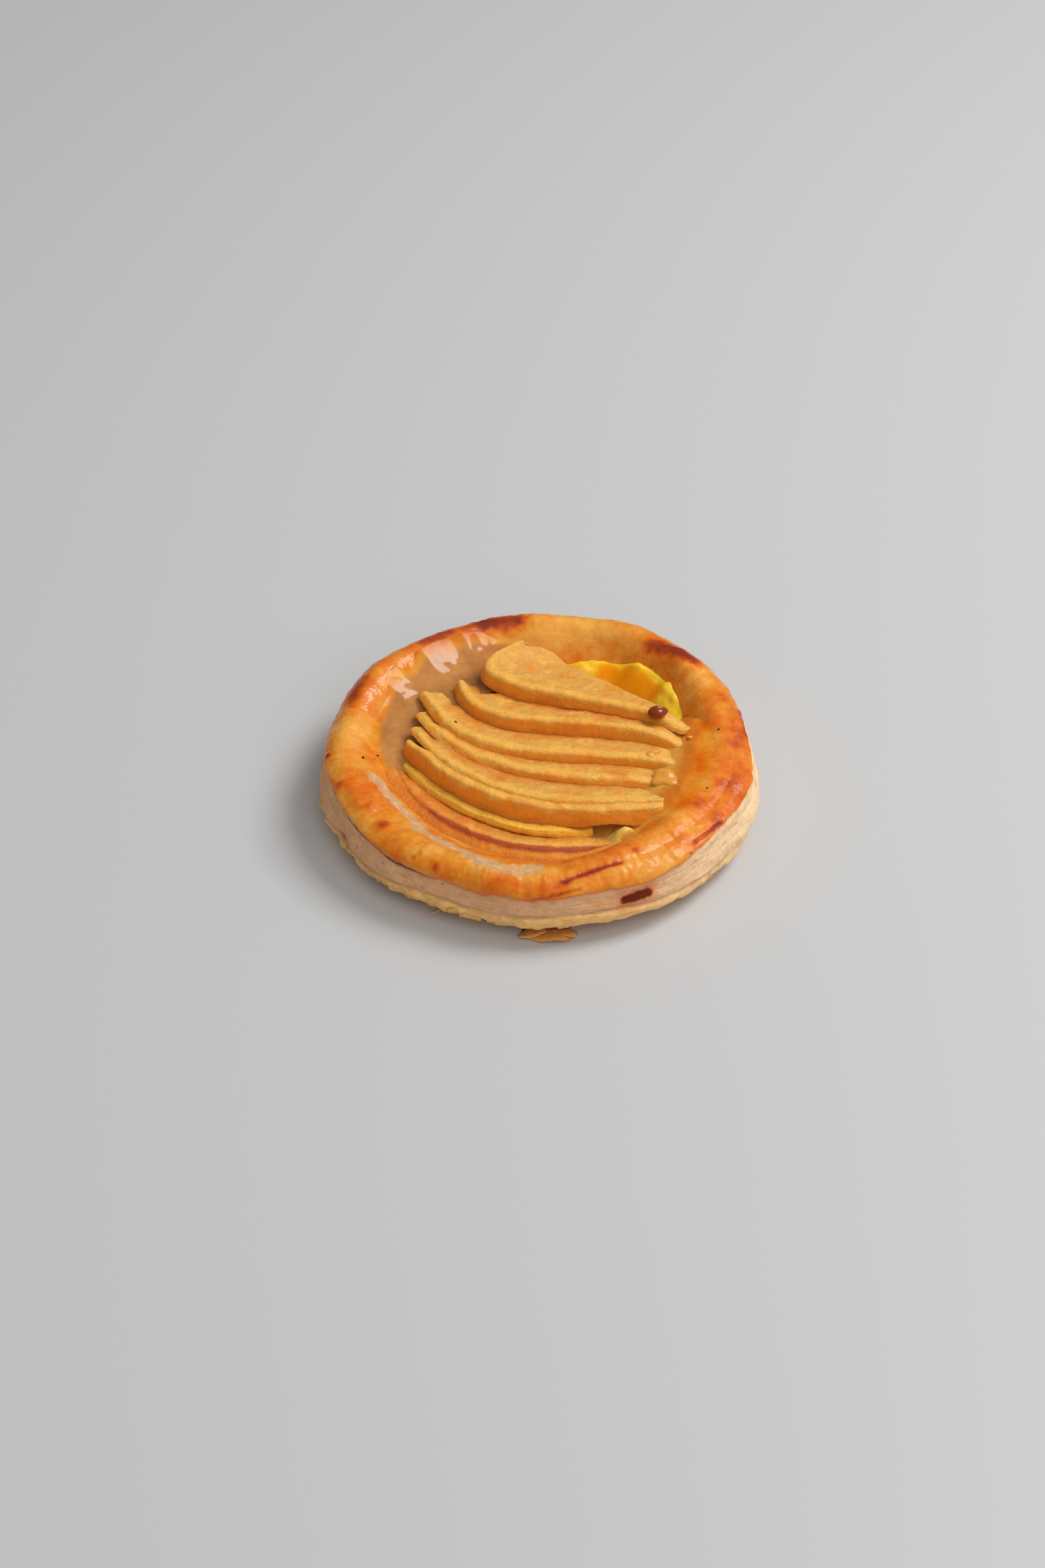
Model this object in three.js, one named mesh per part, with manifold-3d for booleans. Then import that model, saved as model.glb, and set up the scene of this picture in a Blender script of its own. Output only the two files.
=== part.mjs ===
// A round apple tart of puff pastry, in millimetres with +Z up. A raised rim surrounds a shallow
// well. Custard fills the well, a fan of half-moon apple slices is shingled over the custard from
// the front (-Y) to the back (+Y), and one pip lies on the last slice. The tart stands on z = 0.

import * as THREE from "three";
import { mergeVertices } from "three/addons/utils/BufferGeometryUtils.js";
import ManifoldModule from "manifold-3d";

// Pastry
const WIDTH = 109; // across the bulge of the side
const BASE_R = 46; // flat underside
const FOOT_R = 49.6; // lower edge of the side
const FOOT_Z = 1.2;
const TOE_IN = 1; // rounding under the lower edge
const TOE_Z = 0.5;
const SKIRT_R = 53.6; // where the layered side meets the glazed skin
const SKIRT_Z = 11.6;
const CROWN_R = 48; // top of the rim
const CROWN_Z = 18.8;
const SHOULDER_IN = 0.2; // share of the way in and up from the skirt to the crown
const SHOULDER_UP = 0.66;
const LIP_R = 38.4; // foot of the rim's inner slope
const LIP_Z = 11.3;
const FLOOR_R = 34; // floor of the well
const FLOOR_Z = 6;
const LAYERS = 6; // leaves of pastry that show on the side
const LAYER_DEPTH = 0.5; // how far the seams between them go in
const FLAKE = 0.25; // how far single leaves stand out or fall back
// Waves of a leaf's edge round the tart, their share and how far they turn from leaf to leaf
const LEAF_WAVES = [[7, 1, 2.3], [13, 0.7, 4.1]];
// Where the rim reaches into the well or draws back from it, how wide and how far
const SWELLS = [[-10, 40, 3], [222, 65, 2.2], [52, 38, -2.5]];
const PASTRY_STEPS = 104; // faces round the tart
const SHOULDER_STEPS = 5;
const SLOPE_STEP = 1.7; // between the rings of the inner slope
const LIP_STEPS = 3;

// Unevenness, each as waves round the tart, their height and where the first crest lies
const OUTLINE_WAVES = [[2, 0.2, 80], [3, 0.5, 62], [5, 0.35, 60], [9, 0.3, 25]];
const RIM_WAVES = [[1, 2.3, 95], [3, 0.35, 40], [7, 0.3, 95], [13, 0.2, 10]];

// Custard
const CUSTARD_Z = 9.2; // level under the slices
const CUSTARD_FLAT_R = 31;
const CUSTARD_EDGE = 9.8; // height where it meets the rim
const CUSTARD_RISE = 5.4; // how much higher it stands at the open part of the fan
const CUSTARD_TURN = 46;
const CUSTARD_SPREAD = 60;
const CUSTARD_SPILL = 0.75; // how far it leans out for each millimetre that it rises
const CUSTARD_ROUND = 0.5; // rounding of its edge
const CUSTARD_BODY = 1.5; // depth of the part that rises
const CUSTARD_STEPS = 64;
const CUSTARD_WALL_STEPS = 3;
const CUSTARD_TOP_STEPS = 4;

// Slices, from front to back. Each crest runs from its left tip to its right tip in plan. A tip
// is an angle and a distance from the middle of the fan, then the way the crest heads off and how
// far it holds that way. Then come the widths of the two ends, the height of the crest, the
// thickness, how far the foot of the front face lies ahead of the crest and how far the half-moon
// reaches under the next slice, as a share of its bow.
const FAN_Y = -1.6; // middle of the fan
const SLICES = [
  {
    left: [182.1, 36.1, -81, 23.6], right: [-58.2, 36.7, 205, 23.7],
    ends: [4, 7], crest: 13.3, thick: 5, lean: 3, share: 0.7,
  },
  {
    left: [178.5, 34.6, -77, 15], right: [-63, 28.5, 212, 18.3],
    ends: [4, 6], crest: 13.8, thick: 1.3, lean: 0.6, share: 0.6,
  },
  {
    left: [175.7, 33.7, -58, 30.2], right: [-37.6, 38, 191, 28.8],
    ends: [4, 6], crest: 18.2, thick: 6.4, lean: 1.4, share: 0.8,
  },
  {
    left: [166.6, 33.4, -67, 28.6], right: [-33.2, 36.5, 192, 28.5],
    ends: [5, 9], crest: 18.3, thick: 2, lean: 0.6, share: 0.8,
  },
  {
    left: [155.7, 34, -68, 29.3], right: [-23, 37, 175, 25],
    ends: [7, 9], crest: 18.1, thick: 2.8, lean: 1, share: 0.9,
  },
  {
    left: [143.6, 37.3, -75, 37.1], right: [-13.8, 37, 157, 25],
    ends: [12, 11], crest: 18.8, thick: 3, lean: 1, share: 0.9,
  },
  {
    left: [129.8, 33.1, -83, 27.1], right: [-3.7, 36.8, 146, 29.8],
    ends: [11, 8], crest: 19.9, thick: 4.2, lean: 1.1, share: 0.9,
  },
  {
    left: [97, 40.2, -146, 39], right: [5, 35.6, 130, 18],
    ends: [1.5, 3], crest: 21.3, thick: 4.4, lean: 1.1, share: 1.2,
  },
];
const LAST = SLICES.length - 1;
const FALL = 0.28; // how steeply a top face falls from its crest to the back
const LAST_FALL = 0.2;
const CREST_ROUND = 0.7; // worn edge of a crest
const CREST_WORN = 0.42;
const CORE_LAG = 1.35; // how much the core edge runs behind the crest, which bends near its left tip
const CREST_STEPS = 26;
const DEPTH_STEPS = 5;
const LINE_STEPS = 64; // of the crest line that heights are taken from

// Pip
const PIP_SIZE = [2.6, 2.1, 1.5]; // half length, half width, half height
const PIP_ALONG = 0.886; // place along the last crest
const PIP_BEHIND = 0.4;
const PIP_TURN = 43;
const PIP_SUNK = 1.2;
const PIP_SLIM = 0.32; // how much its pointed half narrows, and where that begins
const PIP_NARROWS = -0.2;
const PIP_SIDES = 16;
const PIP_RINGS = 10;

const GAP = 0.3; // between neighbouring pieces
const WALL_GAP = 0.42; // between the custard and the sloping wall
const WALL_STEP = 0.05; // of the search for the wall
const MERGE = 1e-3; // points nearer than this are one

const CRUST = 0xc98a45;
const YOLK = 0xe8b522;
const FLESH = 0xd9a44e;
const BROWN = 0x3a1a10;

const { clamp, degToRad, lerp, smoothstep } = THREE.MathUtils;

function waves(list, angle) {
  const heights = list.map(([count, size, turn]) => size * Math.cos(count * (angle - degToRad(turn))));
  return heights.reduce((sum, height) => sum + height);
}

// 1 at a bearing, in degrees, falling to 0 at the given spread on both sides of it.
function around(angle, bearing, spread) {
  const away = Math.acos(Math.cos(angle - degToRad(bearing)));
  return 1 - smoothstep(away, 0, degToRad(spread));
}

// Height of the dough inside the crown, before the rim's unevenness.
function doughHeight(radius) {
  const deep = smoothstep(radius, FLOOR_R, LIP_R);
  const out = clamp((radius - LIP_R) / (CROWN_R - LIP_R), 0, 1);
  return lerp(FLOOR_Z, LIP_Z, deep) + (CROWN_Z - LIP_Z) * (1.5 * out - 0.5 * out ** 3);
}

// Rise of the rim at a nominal height, which grows from the lip to the crown.
function rimRise(height, angle) {
  return waves(RIM_WAVES, angle) * clamp((height - LIP_Z) / (CROWN_Z - LIP_Z), 0, 1);
}

// How far the wall of the well is moved from its true circle.
function wellShift(radius, angle) {
  const share = smoothstep(radius, 0, FLOOR_R) * (1 - smoothstep(radius, LIP_R, CROWN_R));
  const reaches = SWELLS.map(([bearing, spread, reach]) => reach * around(angle, bearing, spread));
  return -share * reaches.reduce((sum, reach) => sum + reach);
}

function pastryProfile() {
  const points = [new THREE.Vector2(0, 0), new THREE.Vector2(BASE_R, 0)];
  points.push(new THREE.Vector2(FOOT_R - TOE_IN, TOE_Z));
  for (let half = 0; half < 2 * LAYERS; half++) {
    const up = half / (2 * LAYERS);
    const bulge = (WIDTH / 2 - (FOOT_R + SKIRT_R) / 2) * Math.sin(Math.PI * up);
    const seam = half % 2 === 0 ? LAYER_DEPTH : 0;
    points.push(new THREE.Vector2(lerp(FOOT_R, SKIRT_R, up) + bulge - seam, lerp(FOOT_Z, SKIRT_Z, up)));
  }
  const shoulder = new THREE.SplineCurve([
    new THREE.Vector2(SKIRT_R, SKIRT_Z),
    new THREE.Vector2(lerp(SKIRT_R, CROWN_R, SHOULDER_IN), lerp(SKIRT_Z, CROWN_Z, SHOULDER_UP)),
    new THREE.Vector2(CROWN_R, CROWN_Z),
  ]);
  points.push(...shoulder.getPoints(SHOULDER_STEPS));
  for (let radius = CROWN_R - SLOPE_STEP; radius > LIP_R; radius -= SLOPE_STEP) {
    points.push(new THREE.Vector2(radius, doughHeight(radius)));
  }
  for (let step = 0; step <= LIP_STEPS; step++) {
    const radius = lerp(LIP_R, FLOOR_R, step / LIP_STEPS);
    points.push(new THREE.Vector2(radius, doughHeight(radius)));
  }
  points.push(new THREE.Vector2(0, FLOOR_Z));
  return points;
}

function pastryShape(radius, angle, height) {
  const outside = smoothstep(radius, LIP_R, FOOT_R);
  const onSide = radius > BASE_R + TOE_IN && height > 0 && height < SKIRT_Z - GAP;
  const leaf = Math.round(((height - FOOT_Z) / (SKIRT_Z - FOOT_Z)) * 2 * LAYERS);
  const edges = LEAF_WAVES.map(([count, share, turn]) => share * Math.sin(angle * count + leaf * turn));
  const flake = onSide ? FLAKE * edges.reduce((sum, edge) => sum + edge) : 0;
  const moved = waves(OUTLINE_WAVES, angle) * outside + wellShift(radius, angle) + flake;
  return { radius: radius + moved, height: height + rimRise(height, angle) };
}

// Nominal radius of the well's wall at a height below the lip, less the gap to the custard.
function wallRadius(height) {
  let radius = FLOOR_R;
  while (doughHeight(radius) < height) radius += WALL_STEP;
  return radius - WALL_GAP;
}

// How far the custard is raised at a nominal place, above its profile.
function custardLift(radius, angle) {
  const near = smoothstep(radius, CUSTARD_FLAT_R, wallRadius(CUSTARD_EDGE) - 2 * CUSTARD_ROUND);
  return CUSTARD_RISE * near * around(angle, CUSTARD_TURN, CUSTARD_SPREAD);
}

function custardTop(radius, angle) {
  const out = smoothstep(radius, CUSTARD_FLAT_R, wallRadius(CUSTARD_EDGE));
  return lerp(CUSTARD_Z, CUSTARD_EDGE, out) + custardLift(radius, angle);
}

function custardProfile() {
  const edge = wallRadius(CUSTARD_EDGE) - CUSTARD_ROUND;
  const low = FLOOR_Z + GAP;
  const points = [new THREE.Vector2(0, low), new THREE.Vector2(FLOOR_R - 2 * CUSTARD_ROUND, low)];
  for (let step = 1; step <= CUSTARD_WALL_STEPS; step++) {
    const height = lerp(low, CUSTARD_EDGE - CUSTARD_ROUND, step / CUSTARD_WALL_STEPS);
    points.push(new THREE.Vector2(wallRadius(height), height));
  }
  for (let step = 0; step <= CUSTARD_TOP_STEPS; step++) {
    const radius = lerp(edge, CUSTARD_FLAT_R, step / CUSTARD_TOP_STEPS);
    points.push(new THREE.Vector2(radius, lerp(CUSTARD_EDGE, CUSTARD_Z, step / CUSTARD_TOP_STEPS)));
  }
  points.push(new THREE.Vector2(0, CUSTARD_Z));
  return points;
}

function custardShape(radius, angle, height) {
  const lift = custardLift(radius, angle) * smoothstep(height, CUSTARD_Z - CUSTARD_BODY, CUSTARD_Z);
  return { radius: radius + wellShift(radius, angle) + lift * CUSTARD_SPILL, height: height + lift };
}

// Spins a profile and moves its points out of true.
function turned(profile, steps, reshape) {
  const geometry = new THREE.LatheGeometry(profile, steps);
  geometry.deleteAttribute("uv");
  geometry.deleteAttribute("normal");
  geometry.rotateX(Math.PI / 2);
  const place = geometry.getAttribute("position");
  for (let index = 0; index < place.count; index++) {
    const angle = Math.atan2(place.getY(index), place.getX(index));
    const shaped = reshape(Math.hypot(place.getX(index), place.getY(index)), angle, place.getZ(index));
    place.setXYZ(index, shaped.radius * Math.cos(angle), shaped.radius * Math.sin(angle), shaped.height);
  }
  return closed(geometry);
}

// One closed skin from a geometry whose seams and poles repeat points.
function closed(geometry) {
  const merged = mergeVertices(geometry, MERGE);
  const index = merged.getIndex().array;
  const kept = [];
  for (let corner = 0; corner < index.length; corner += 3) {
    const [a, b, c] = [index[corner], index[corner + 1], index[corner + 2]];
    if (a !== b && b !== c && c !== a) kept.push(a, b, c);
  }
  merged.setIndex(kept);
  merged.computeVertexNormals();
  return merged;
}

function polar(angle, distance) {
  return new THREE.Vector2(distance * Math.cos(degToRad(angle)), distance * Math.sin(degToRad(angle)));
}

// The way to the back of a slice, square to the heading of its crest.
function backward(heading) {
  return new THREE.Vector2(-heading.y, heading.x);
}

function crestCurve({ left, right }) {
  const middle = new THREE.Vector2(0, FAN_Y);
  const start = polar(left[0], left[1]).add(middle);
  const end = polar(right[0], right[1]).add(middle);
  const leave = start.clone().add(polar(left[2], left[3]));
  const arrive = end.clone().add(polar(right[2], right[3]));
  return new THREE.CubicBezierCurve(start, leave, arrive, end);
}

const curves = SLICES.map(crestCurve);
const crestLines = curves.map((curve) => curve.getSpacedPoints(LINE_STEPS));

// Distance of a plan point behind a slice's crest, negative ahead of it.
function behind(number, point) {
  const line = crestLines[number];
  let nearest = Infinity;
  let signed = 0;
  for (let index = 0; index + 1 < line.length; index++) {
    const along = line[index + 1].clone().sub(line[index]);
    const from = point.clone().sub(line[index]);
    const low = index === 0 ? -Infinity : 0;
    const high = index + 2 === line.length ? Infinity : 1;
    const share = clamp(from.dot(along) / along.lengthSq(), low, high);
    const away = from.distanceTo(along.clone().multiplyScalar(share));
    if (away < nearest) {
      nearest = away;
      signed = Math.sign(along.cross(from)) * away;
    }
  }
  return signed;
}

function topFace(number, point) {
  return SLICES[number].crest - FALL * behind(number, point);
}

// A slice is as thick as it is cut, unless the custard, the dough or the slice before it is nearer.
function underside(number, point, face) {
  const angle = Math.atan2(point.y, point.x);
  const radius = point.length() - wellShift(point.length(), angle);
  const dough = doughHeight(radius);
  const heights = [custardTop(radius, angle), dough + rimRise(dough, angle)];
  heights.push(face - SLICES[number].thick - GAP);
  if (number > 0) heights.push(topFace(number - 1, point));
  return Math.max(...heights) + GAP;
}

// The point on the core edge of the half-moon that lies behind a point of the crest.
function corePoint(number, along) {
  const { ends, share } = SLICES[number];
  const curve = curves[number];
  const [start, end] = ends.map((width, tip) => {
    return curve.getPointAt(tip).addScaledVector(backward(curve.getTangentAt(tip)), width / share);
  });
  return curve.getPointAt(along).lerp(start.lerp(end, along ** CORE_LAG), share);
}

function sliceGeometry(number) {
  const top = [];
  const bottom = [];
  for (let row = 0; row <= CREST_STEPS; row++) {
    const crest = curves[number].getPointAt(row / CREST_STEPS);
    const back = corePoint(number, row / CREST_STEPS).sub(crest);
    const depth = back.length();
    back.normalize();
    for (let column = 0; column <= DEPTH_STEPS; column++) {
      const inward = column === 0 ? 0 : lerp(CREST_ROUND, depth, (column - 1) / (DEPTH_STEPS - 1));
      const upper = crest.clone().addScaledVector(back, inward);
      const lower = crest.clone().addScaledVector(back, inward - SLICES[number].lean);
      const worn = column === 0 ? CREST_WORN : 0;
      const face = number === LAST ? SLICES[LAST].crest - LAST_FALL * inward : topFace(number, upper);
      top.push([upper.x, upper.y, face - worn]);
      bottom.push([lower.x, lower.y, underside(number, lower, face)]);
    }
  }
  return slab(top, bottom, CREST_STEPS, DEPTH_STEPS);
}

// A closed slab between two grids of points.
function slab(top, bottom, rows, columns) {
  const wide = columns + 1;
  const under = top.length;
  const faces = [];
  const quad = (a, b, c, d) => faces.push(a, b, c, a, c, d);
  for (let row = 0; row < rows; row++) {
    for (let column = 0; column < columns; column++) {
      const at = row * wide + column;
      quad(at, at + wide, at + wide + 1, at + 1);
      quad(under + at, under + at + 1, under + at + wide + 1, under + at + wide);
    }
    const front = row * wide;
    const rear = front + columns;
    quad(front, under + front, under + front + wide, front + wide);
    quad(rear, rear + wide, under + rear + wide, under + rear);
  }
  for (let column = 0; column < columns; column++) {
    const far = rows * wide + column;
    quad(column, column + 1, under + column + 1, under + column);
    quad(far, under + far, under + far + 1, far + 1);
  }
  const geometry = new THREE.BufferGeometry();
  geometry.setAttribute("position", new THREE.Float32BufferAttribute([...top, ...bottom].flat(), 3));
  geometry.setIndex(faces);
  return closed(geometry);
}

// A drop-shaped pip, lying on the crest of the last slice.
function pipGeometry(grow) {
  const geometry = new THREE.SphereGeometry(1, PIP_SIDES, PIP_RINGS);
  geometry.deleteAttribute("uv");
  geometry.deleteAttribute("normal");
  const place = geometry.getAttribute("position");
  const [length, width, height] = PIP_SIZE.map((half) => half + grow);
  for (let index = 0; index < place.count; index++) {
    const along = place.getX(index);
    const slim = 1 - PIP_SLIM * smoothstep(along, PIP_NARROWS, 1);
    place.setXYZ(index, along * length, place.getY(index) * slim * width, place.getZ(index) * slim * height);
  }
  const heading = curves[LAST].getTangentAt(PIP_ALONG);
  const spot = curves[LAST].getPointAt(PIP_ALONG).addScaledVector(backward(heading), PIP_BEHIND);
  geometry.rotateZ(heading.angle() + degToRad(PIP_TURN));
  geometry.translate(spot.x, spot.y, SLICES[LAST].crest + PIP_SIZE[2] - PIP_SUNK);
  return closed(geometry);
}

const manifold = await ManifoldModule();
manifold.setup();

function solid(geometry) {
  const vertProperties = Float32Array.from(geometry.getAttribute("position").array);
  const triVerts = Uint32Array.from(geometry.getIndex().array);
  return new manifold.Manifold(new manifold.Mesh({ numProp: 3, vertProperties, triVerts }));
}

function cutAway(geometry, tool) {
  const mesh = solid(geometry).subtract(solid(tool)).getMesh();
  const result = new THREE.BufferGeometry();
  result.setAttribute("position", new THREE.BufferAttribute(mesh.vertProperties, 3));
  result.setIndex(new THREE.BufferAttribute(mesh.triVerts, 1));
  return closed(result);
}

const tart = new THREE.Group();
tart.name = "apple_tart";

function addPiece(name, geometry, color, roughness) {
  const mesh = new THREE.Mesh(geometry, new THREE.MeshStandardMaterial({ color, roughness }));
  mesh.name = name;
  tart.add(mesh);
}

addPiece("pastry", turned(pastryProfile(), PASTRY_STEPS, pastryShape), CRUST, 0.5);
addPiece("custard", turned(custardProfile(), CUSTARD_STEPS, custardShape), YOLK, 0.4);
SLICES.forEach((slice, number) => {
  const whole = sliceGeometry(number);
  const piece = number === LAST ? cutAway(whole, pipGeometry(GAP)) : whole;
  addPiece(`apple_slice_${number + 1}`, piece, FLESH, 0.45);
});
addPiece("pip", pipGeometry(0), BROWN, 0.25);

// The box round the tart is centred on the Z axis.
const middle = new THREE.Box3().setFromObject(tart).getCenter(new THREE.Vector3());
tart.children.forEach((mesh) => mesh.geometry.translate(-middle.x, -middle.y, 0));

export default tart;
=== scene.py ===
"""Dresses the solids of a round puff pastry tart with custard, a fan of baked apple slices and glaze.

Lengths in the shaping functions are in millimetres and are turned into metres as a piece is placed.
"""

import math
from collections import namedtuple

import bpy
import numpy as np
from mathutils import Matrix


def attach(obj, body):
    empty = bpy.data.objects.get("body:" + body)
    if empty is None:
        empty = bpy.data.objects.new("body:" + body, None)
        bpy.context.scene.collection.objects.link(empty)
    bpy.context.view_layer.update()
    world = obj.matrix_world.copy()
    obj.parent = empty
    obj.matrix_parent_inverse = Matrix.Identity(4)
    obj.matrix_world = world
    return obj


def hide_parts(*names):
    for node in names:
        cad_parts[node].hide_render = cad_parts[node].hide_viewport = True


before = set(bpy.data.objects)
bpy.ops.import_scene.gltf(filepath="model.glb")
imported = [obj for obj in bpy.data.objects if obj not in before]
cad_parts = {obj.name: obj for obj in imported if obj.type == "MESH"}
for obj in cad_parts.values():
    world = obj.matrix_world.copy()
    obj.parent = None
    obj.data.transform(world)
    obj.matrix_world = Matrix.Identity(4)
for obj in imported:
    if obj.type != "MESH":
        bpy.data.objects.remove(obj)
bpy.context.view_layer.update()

bl_info = {
    "name": "Glazed tart with apple slices",
    "version": (1, 0, 0),
    "blender": (4, 5, 0),
    "location": "View3D > Sidebar > Tart",
    "description": "Builds a puff pastry tart with custard, shingled apple slices and glaze",
    "category": "Object",
}

MM = 0.001
BODY = "root"
# Points closer than the first are one, and edges shorter than the second go
SAME_PLACE, NO_LENGTH = 0.005, 0.001
# Usual span of the noise in a material
NOISE_SPAN = (0.3, 0.7)

# Pastry
WIDTH = 109
BASE_R = 46
FOOT_R, FOOT_Z = 49.6, 1.2
SKIRT_R, SKIRT_Z = 53.6, 11.6
CROWN_R, CROWN_Z = 48, 18.8
LIP_R, LIP_Z = 38.4, 11.3
FLOOR_R, FLOOR_Z = 34, 6
# Swells of the well: bearing, spread and reach. Waves of outline and rim: count, size and bearing
SWELLS = [(-10, 40, 3), (222, 65, 2.2), (52, 38, -2.5)]
OUTLINE_WAVES = [(2, 0.2, 80), (3, 0.5, 62), (5, 0.35, 60), (9, 0.3, 25)]
RIM_WAVES = [(1, 2.3, 95), (3, 0.35, 40), (7, 0.3, 95), (13, 0.2, 10)]
OFF_CENTRE = np.array((0.5745, 0.3498))
PASTRY_STEPS = 560
SIDE_ROWS, ROLL_ROWS, INNER_ROWS = 70, 46, 30
SHOULDER = (0.2, 0.66)
CROWN_SLOPE = (1.4, 0)
FINER = 0.3
PUFF_R = 35.5
# Puffed parts of the roll: bearing, spread and rise. Ledge of the lowest layer: bearing and height
PUFFS = [(0, 115, 2.2), (-46, 42, 1.9)]
LEDGE = [(-180, 6.2), (-142, 6.8), (-115, 8.2), (-80, 8.2), (-50, 6.8), (-20, 5), (140, 5), (180, 6.2)]
TORN_WIDTH = 2.1

# Custard
CUSTARD_Z = 9.2
CUSTARD_FLAT_R = 31
CUSTARD_EDGE = 9.8
CUSTARD_RISE = 5.4
# Bearing and spread of the part where it rises
CUSTARD_AT = (46, 60)
CUSTARD_SPILL = 0.75

# Slices from front to back: the two tips of the crest, the widths of the ends, the height of the
# crest, the thickness, the lean of the front and how far the half-moon reaches under the next slice
FAN_Y = -1.6
Slice = namedtuple("Slice", "left right ends high thick lean reach")
SLICES = [Slice(*row) for row in [
    ((182.1, 36.1, -81, 23.6), (-58.2, 36.7, 205, 23.7), (4, 7), 13.3, 5, 3, 0.7),
    ((178.5, 34.6, -77, 15), (-63, 28.5, 212, 18.3), (4, 6), 13.8, 1.3, 0.6, 0.6),
    ((175.7, 33.7, -58, 30.2), (-37.6, 38, 191, 28.8), (4, 6), 18.2, 6.4, 1.4, 0.8),
    ((166.6, 33.4, -67, 28.6), (-33.2, 36.5, 192, 28.5), (5, 9), 18.3, 2, 0.6, 0.8),
    ((155.7, 34, -68, 29.3), (-23, 37, 175, 25), (7, 9), 18.1, 2.8, 1, 0.9),
    ((143.6, 37.3, -75, 37.1), (-13.8, 37, 157, 25), (12, 11), 18.8, 3, 1, 0.9),
    ((129.8, 33.1, -83, 27.1), (-3.7, 36.8, 146, 29.8), (11, 8), 19.9, 4.2, 1.1, 0.9),
    ((97, 40.2, -146, 39), (5, 35.6, 130, 18), (1.5, 3), 21.3, 4.4, 1.1, 1.2),
]]
LAST = len(SLICES) - 1
THIN = 1
FALL = 0.28
LAST_FALL = 0.2
SHEET_DEPTH = 1
MENISCUS = 0.9
TIP_ROUND = (1, 1.6)
END_CUT = 0.4
# How far the right ends and the undersides there come down, from slice to slice
END_DROP = (1.3, 1.3, 0.7, 1.2, 1.3, 1.5, 2.2, 8)
UNDER_DROP = (0, 1.3, 2.6, 0.7, 1.2, 1.3, 1.5, 0)
LAST_WEAR = 0.2
KNOB = 2.6
CORE_LAG = 1.35
CREST_STEPS, COARSE_STEPS = 401, 65
GAP = 0.3

# Pip
PIP_SIZE = (2.6, 2.1, 1.5)
PIP_ALONG = 0.886
PIP_BEHIND = 0.4
PIP_TURN = 43
PIP_SUNK = 1.2


def lerp(a, b, share):
    return a + (b - a) * share


def smooth(value, low, high):
    share = np.clip((value - low) / (high - low), 0, 1)
    return share * share * (3 - 2 * share)


def falling(value, low, high):
    return 1 - smooth(value, low, high)


def hill(distance, width):
    """1 at no distance, falling away like a bell over the given width."""
    return np.exp(-((distance / width) ** 2))


def grain(points, size, seed):
    """Smooth seeded noise from about -1 to 1, in lumps of the given size."""
    draw = np.random.default_rng(seed)
    order = draw.permutation(256)
    slopes = draw.normal(size=(256, 3))
    slopes /= np.linalg.norm(slopes, axis=1)[:, None]
    spot = points / size
    cell = np.floor(spot).astype(int)
    inside = spot - cell
    fade = inside**3 * (inside * (inside * 6 - 15) + 10)
    total = np.zeros(len(points))
    for corner in np.ndindex(2, 2, 2):
        x, y, z = (cell + corner).T & 255
        pick = order[(order[(order[x] + y) & 255] + z) & 255]
        share = np.prod(np.where(corner, fade, 1 - fade), axis=1)
        total += share * np.einsum("ij,ij->i", inside - corner, slopes[pick])
    return 1.7 * total


def layered(points, layers):
    """Seeded noises added up, each with its share, the size of its lumps and its seed."""
    return sum(share * grain(points, size, seed) for share, size, seed in layers)


def stops(value, levels, colours):
    """A colour for each value, between the stops of a ramp."""
    return np.stack([np.interp(value, levels, channel) for channel in np.transpose(colours)], axis=1)


def blend(base, other, share):
    base = np.asarray(base)
    return base + (np.asarray(other) - base) * np.clip(share, 0, 1)[:, None]


def coats(base, *layers):
    """Colours laid over a base one by one, each by its share."""
    for over, share in layers:
        base = blend(base, over, share)
    return base


def near(points, path):
    """Distance of each point from a path of straight runs."""
    best = np.full(len(points), np.inf)
    path = np.asarray(path, float)
    for start, end in zip(path, path[1:]):
        run = end - start
        share = np.clip((points - start) @ run / (run @ run), 0, 1)
        best = np.minimum(best, np.linalg.norm(points - start - share[:, None] * run, axis=1))
    return best


def turns(points):
    """The angle and the distance of each point about the Z axis."""
    return np.arctan2(points[:, 1], points[:, 0]), np.hypot(points[:, 0], points[:, 1])


def ringed(radius, angle, height):
    """Points at the given distance and angle about the Z axis."""
    return np.column_stack((radius * np.cos(angle), radius * np.sin(angle), height))


def turned(plan, turn):
    return plan @ np.array(((math.cos(turn), math.sin(turn)), (-math.sin(turn), math.cos(turn))))


# Forms that the pieces share with the solids


def waves(rows, angle):
    return sum(size * np.cos(count * (angle - math.radians(turn))) for count, size, turn in rows)


def around(angle, bearing, spread):
    away = np.arccos(np.clip(np.cos(angle - math.radians(bearing)), -1, 1))
    return 1 - smooth(away, 0, math.radians(spread))


def dough_height(radius):
    out = np.clip((radius - LIP_R) / (CROWN_R - LIP_R), 0, 1)
    deep = smooth(radius, FLOOR_R, LIP_R)
    return lerp(FLOOR_Z, LIP_Z, deep) + (CROWN_Z - LIP_Z) * (1.5 * out - 0.5 * out**3)


def rim_rise(height, angle):
    return waves(RIM_WAVES, angle) * np.clip((height - LIP_Z) / (CROWN_Z - LIP_Z), 0, 1)


def puffed(radius, angle):
    """How much the roll rises over its solid, along its inner slope."""
    share = np.clip((radius - PUFF_R) / (CROWN_R - PUFF_R), 0, 1)
    amount = sum(rise * around(angle, bearing, spread) for bearing, spread, rise in PUFFS)
    return amount * np.sin(math.pi * share**0.8)


def solid_dough(points):
    """Angle, distance from the middle of the well and height of the solid's dough under plan points."""
    angle, radius = turns(points)
    radius = radius - well_shift(radius, angle)
    dough = dough_height(radius)
    return angle, radius, dough + rim_rise(dough, angle)


def dough_top(points):
    angle, radius, dough = solid_dough(points)
    return dough + puffed(radius, angle)


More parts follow.
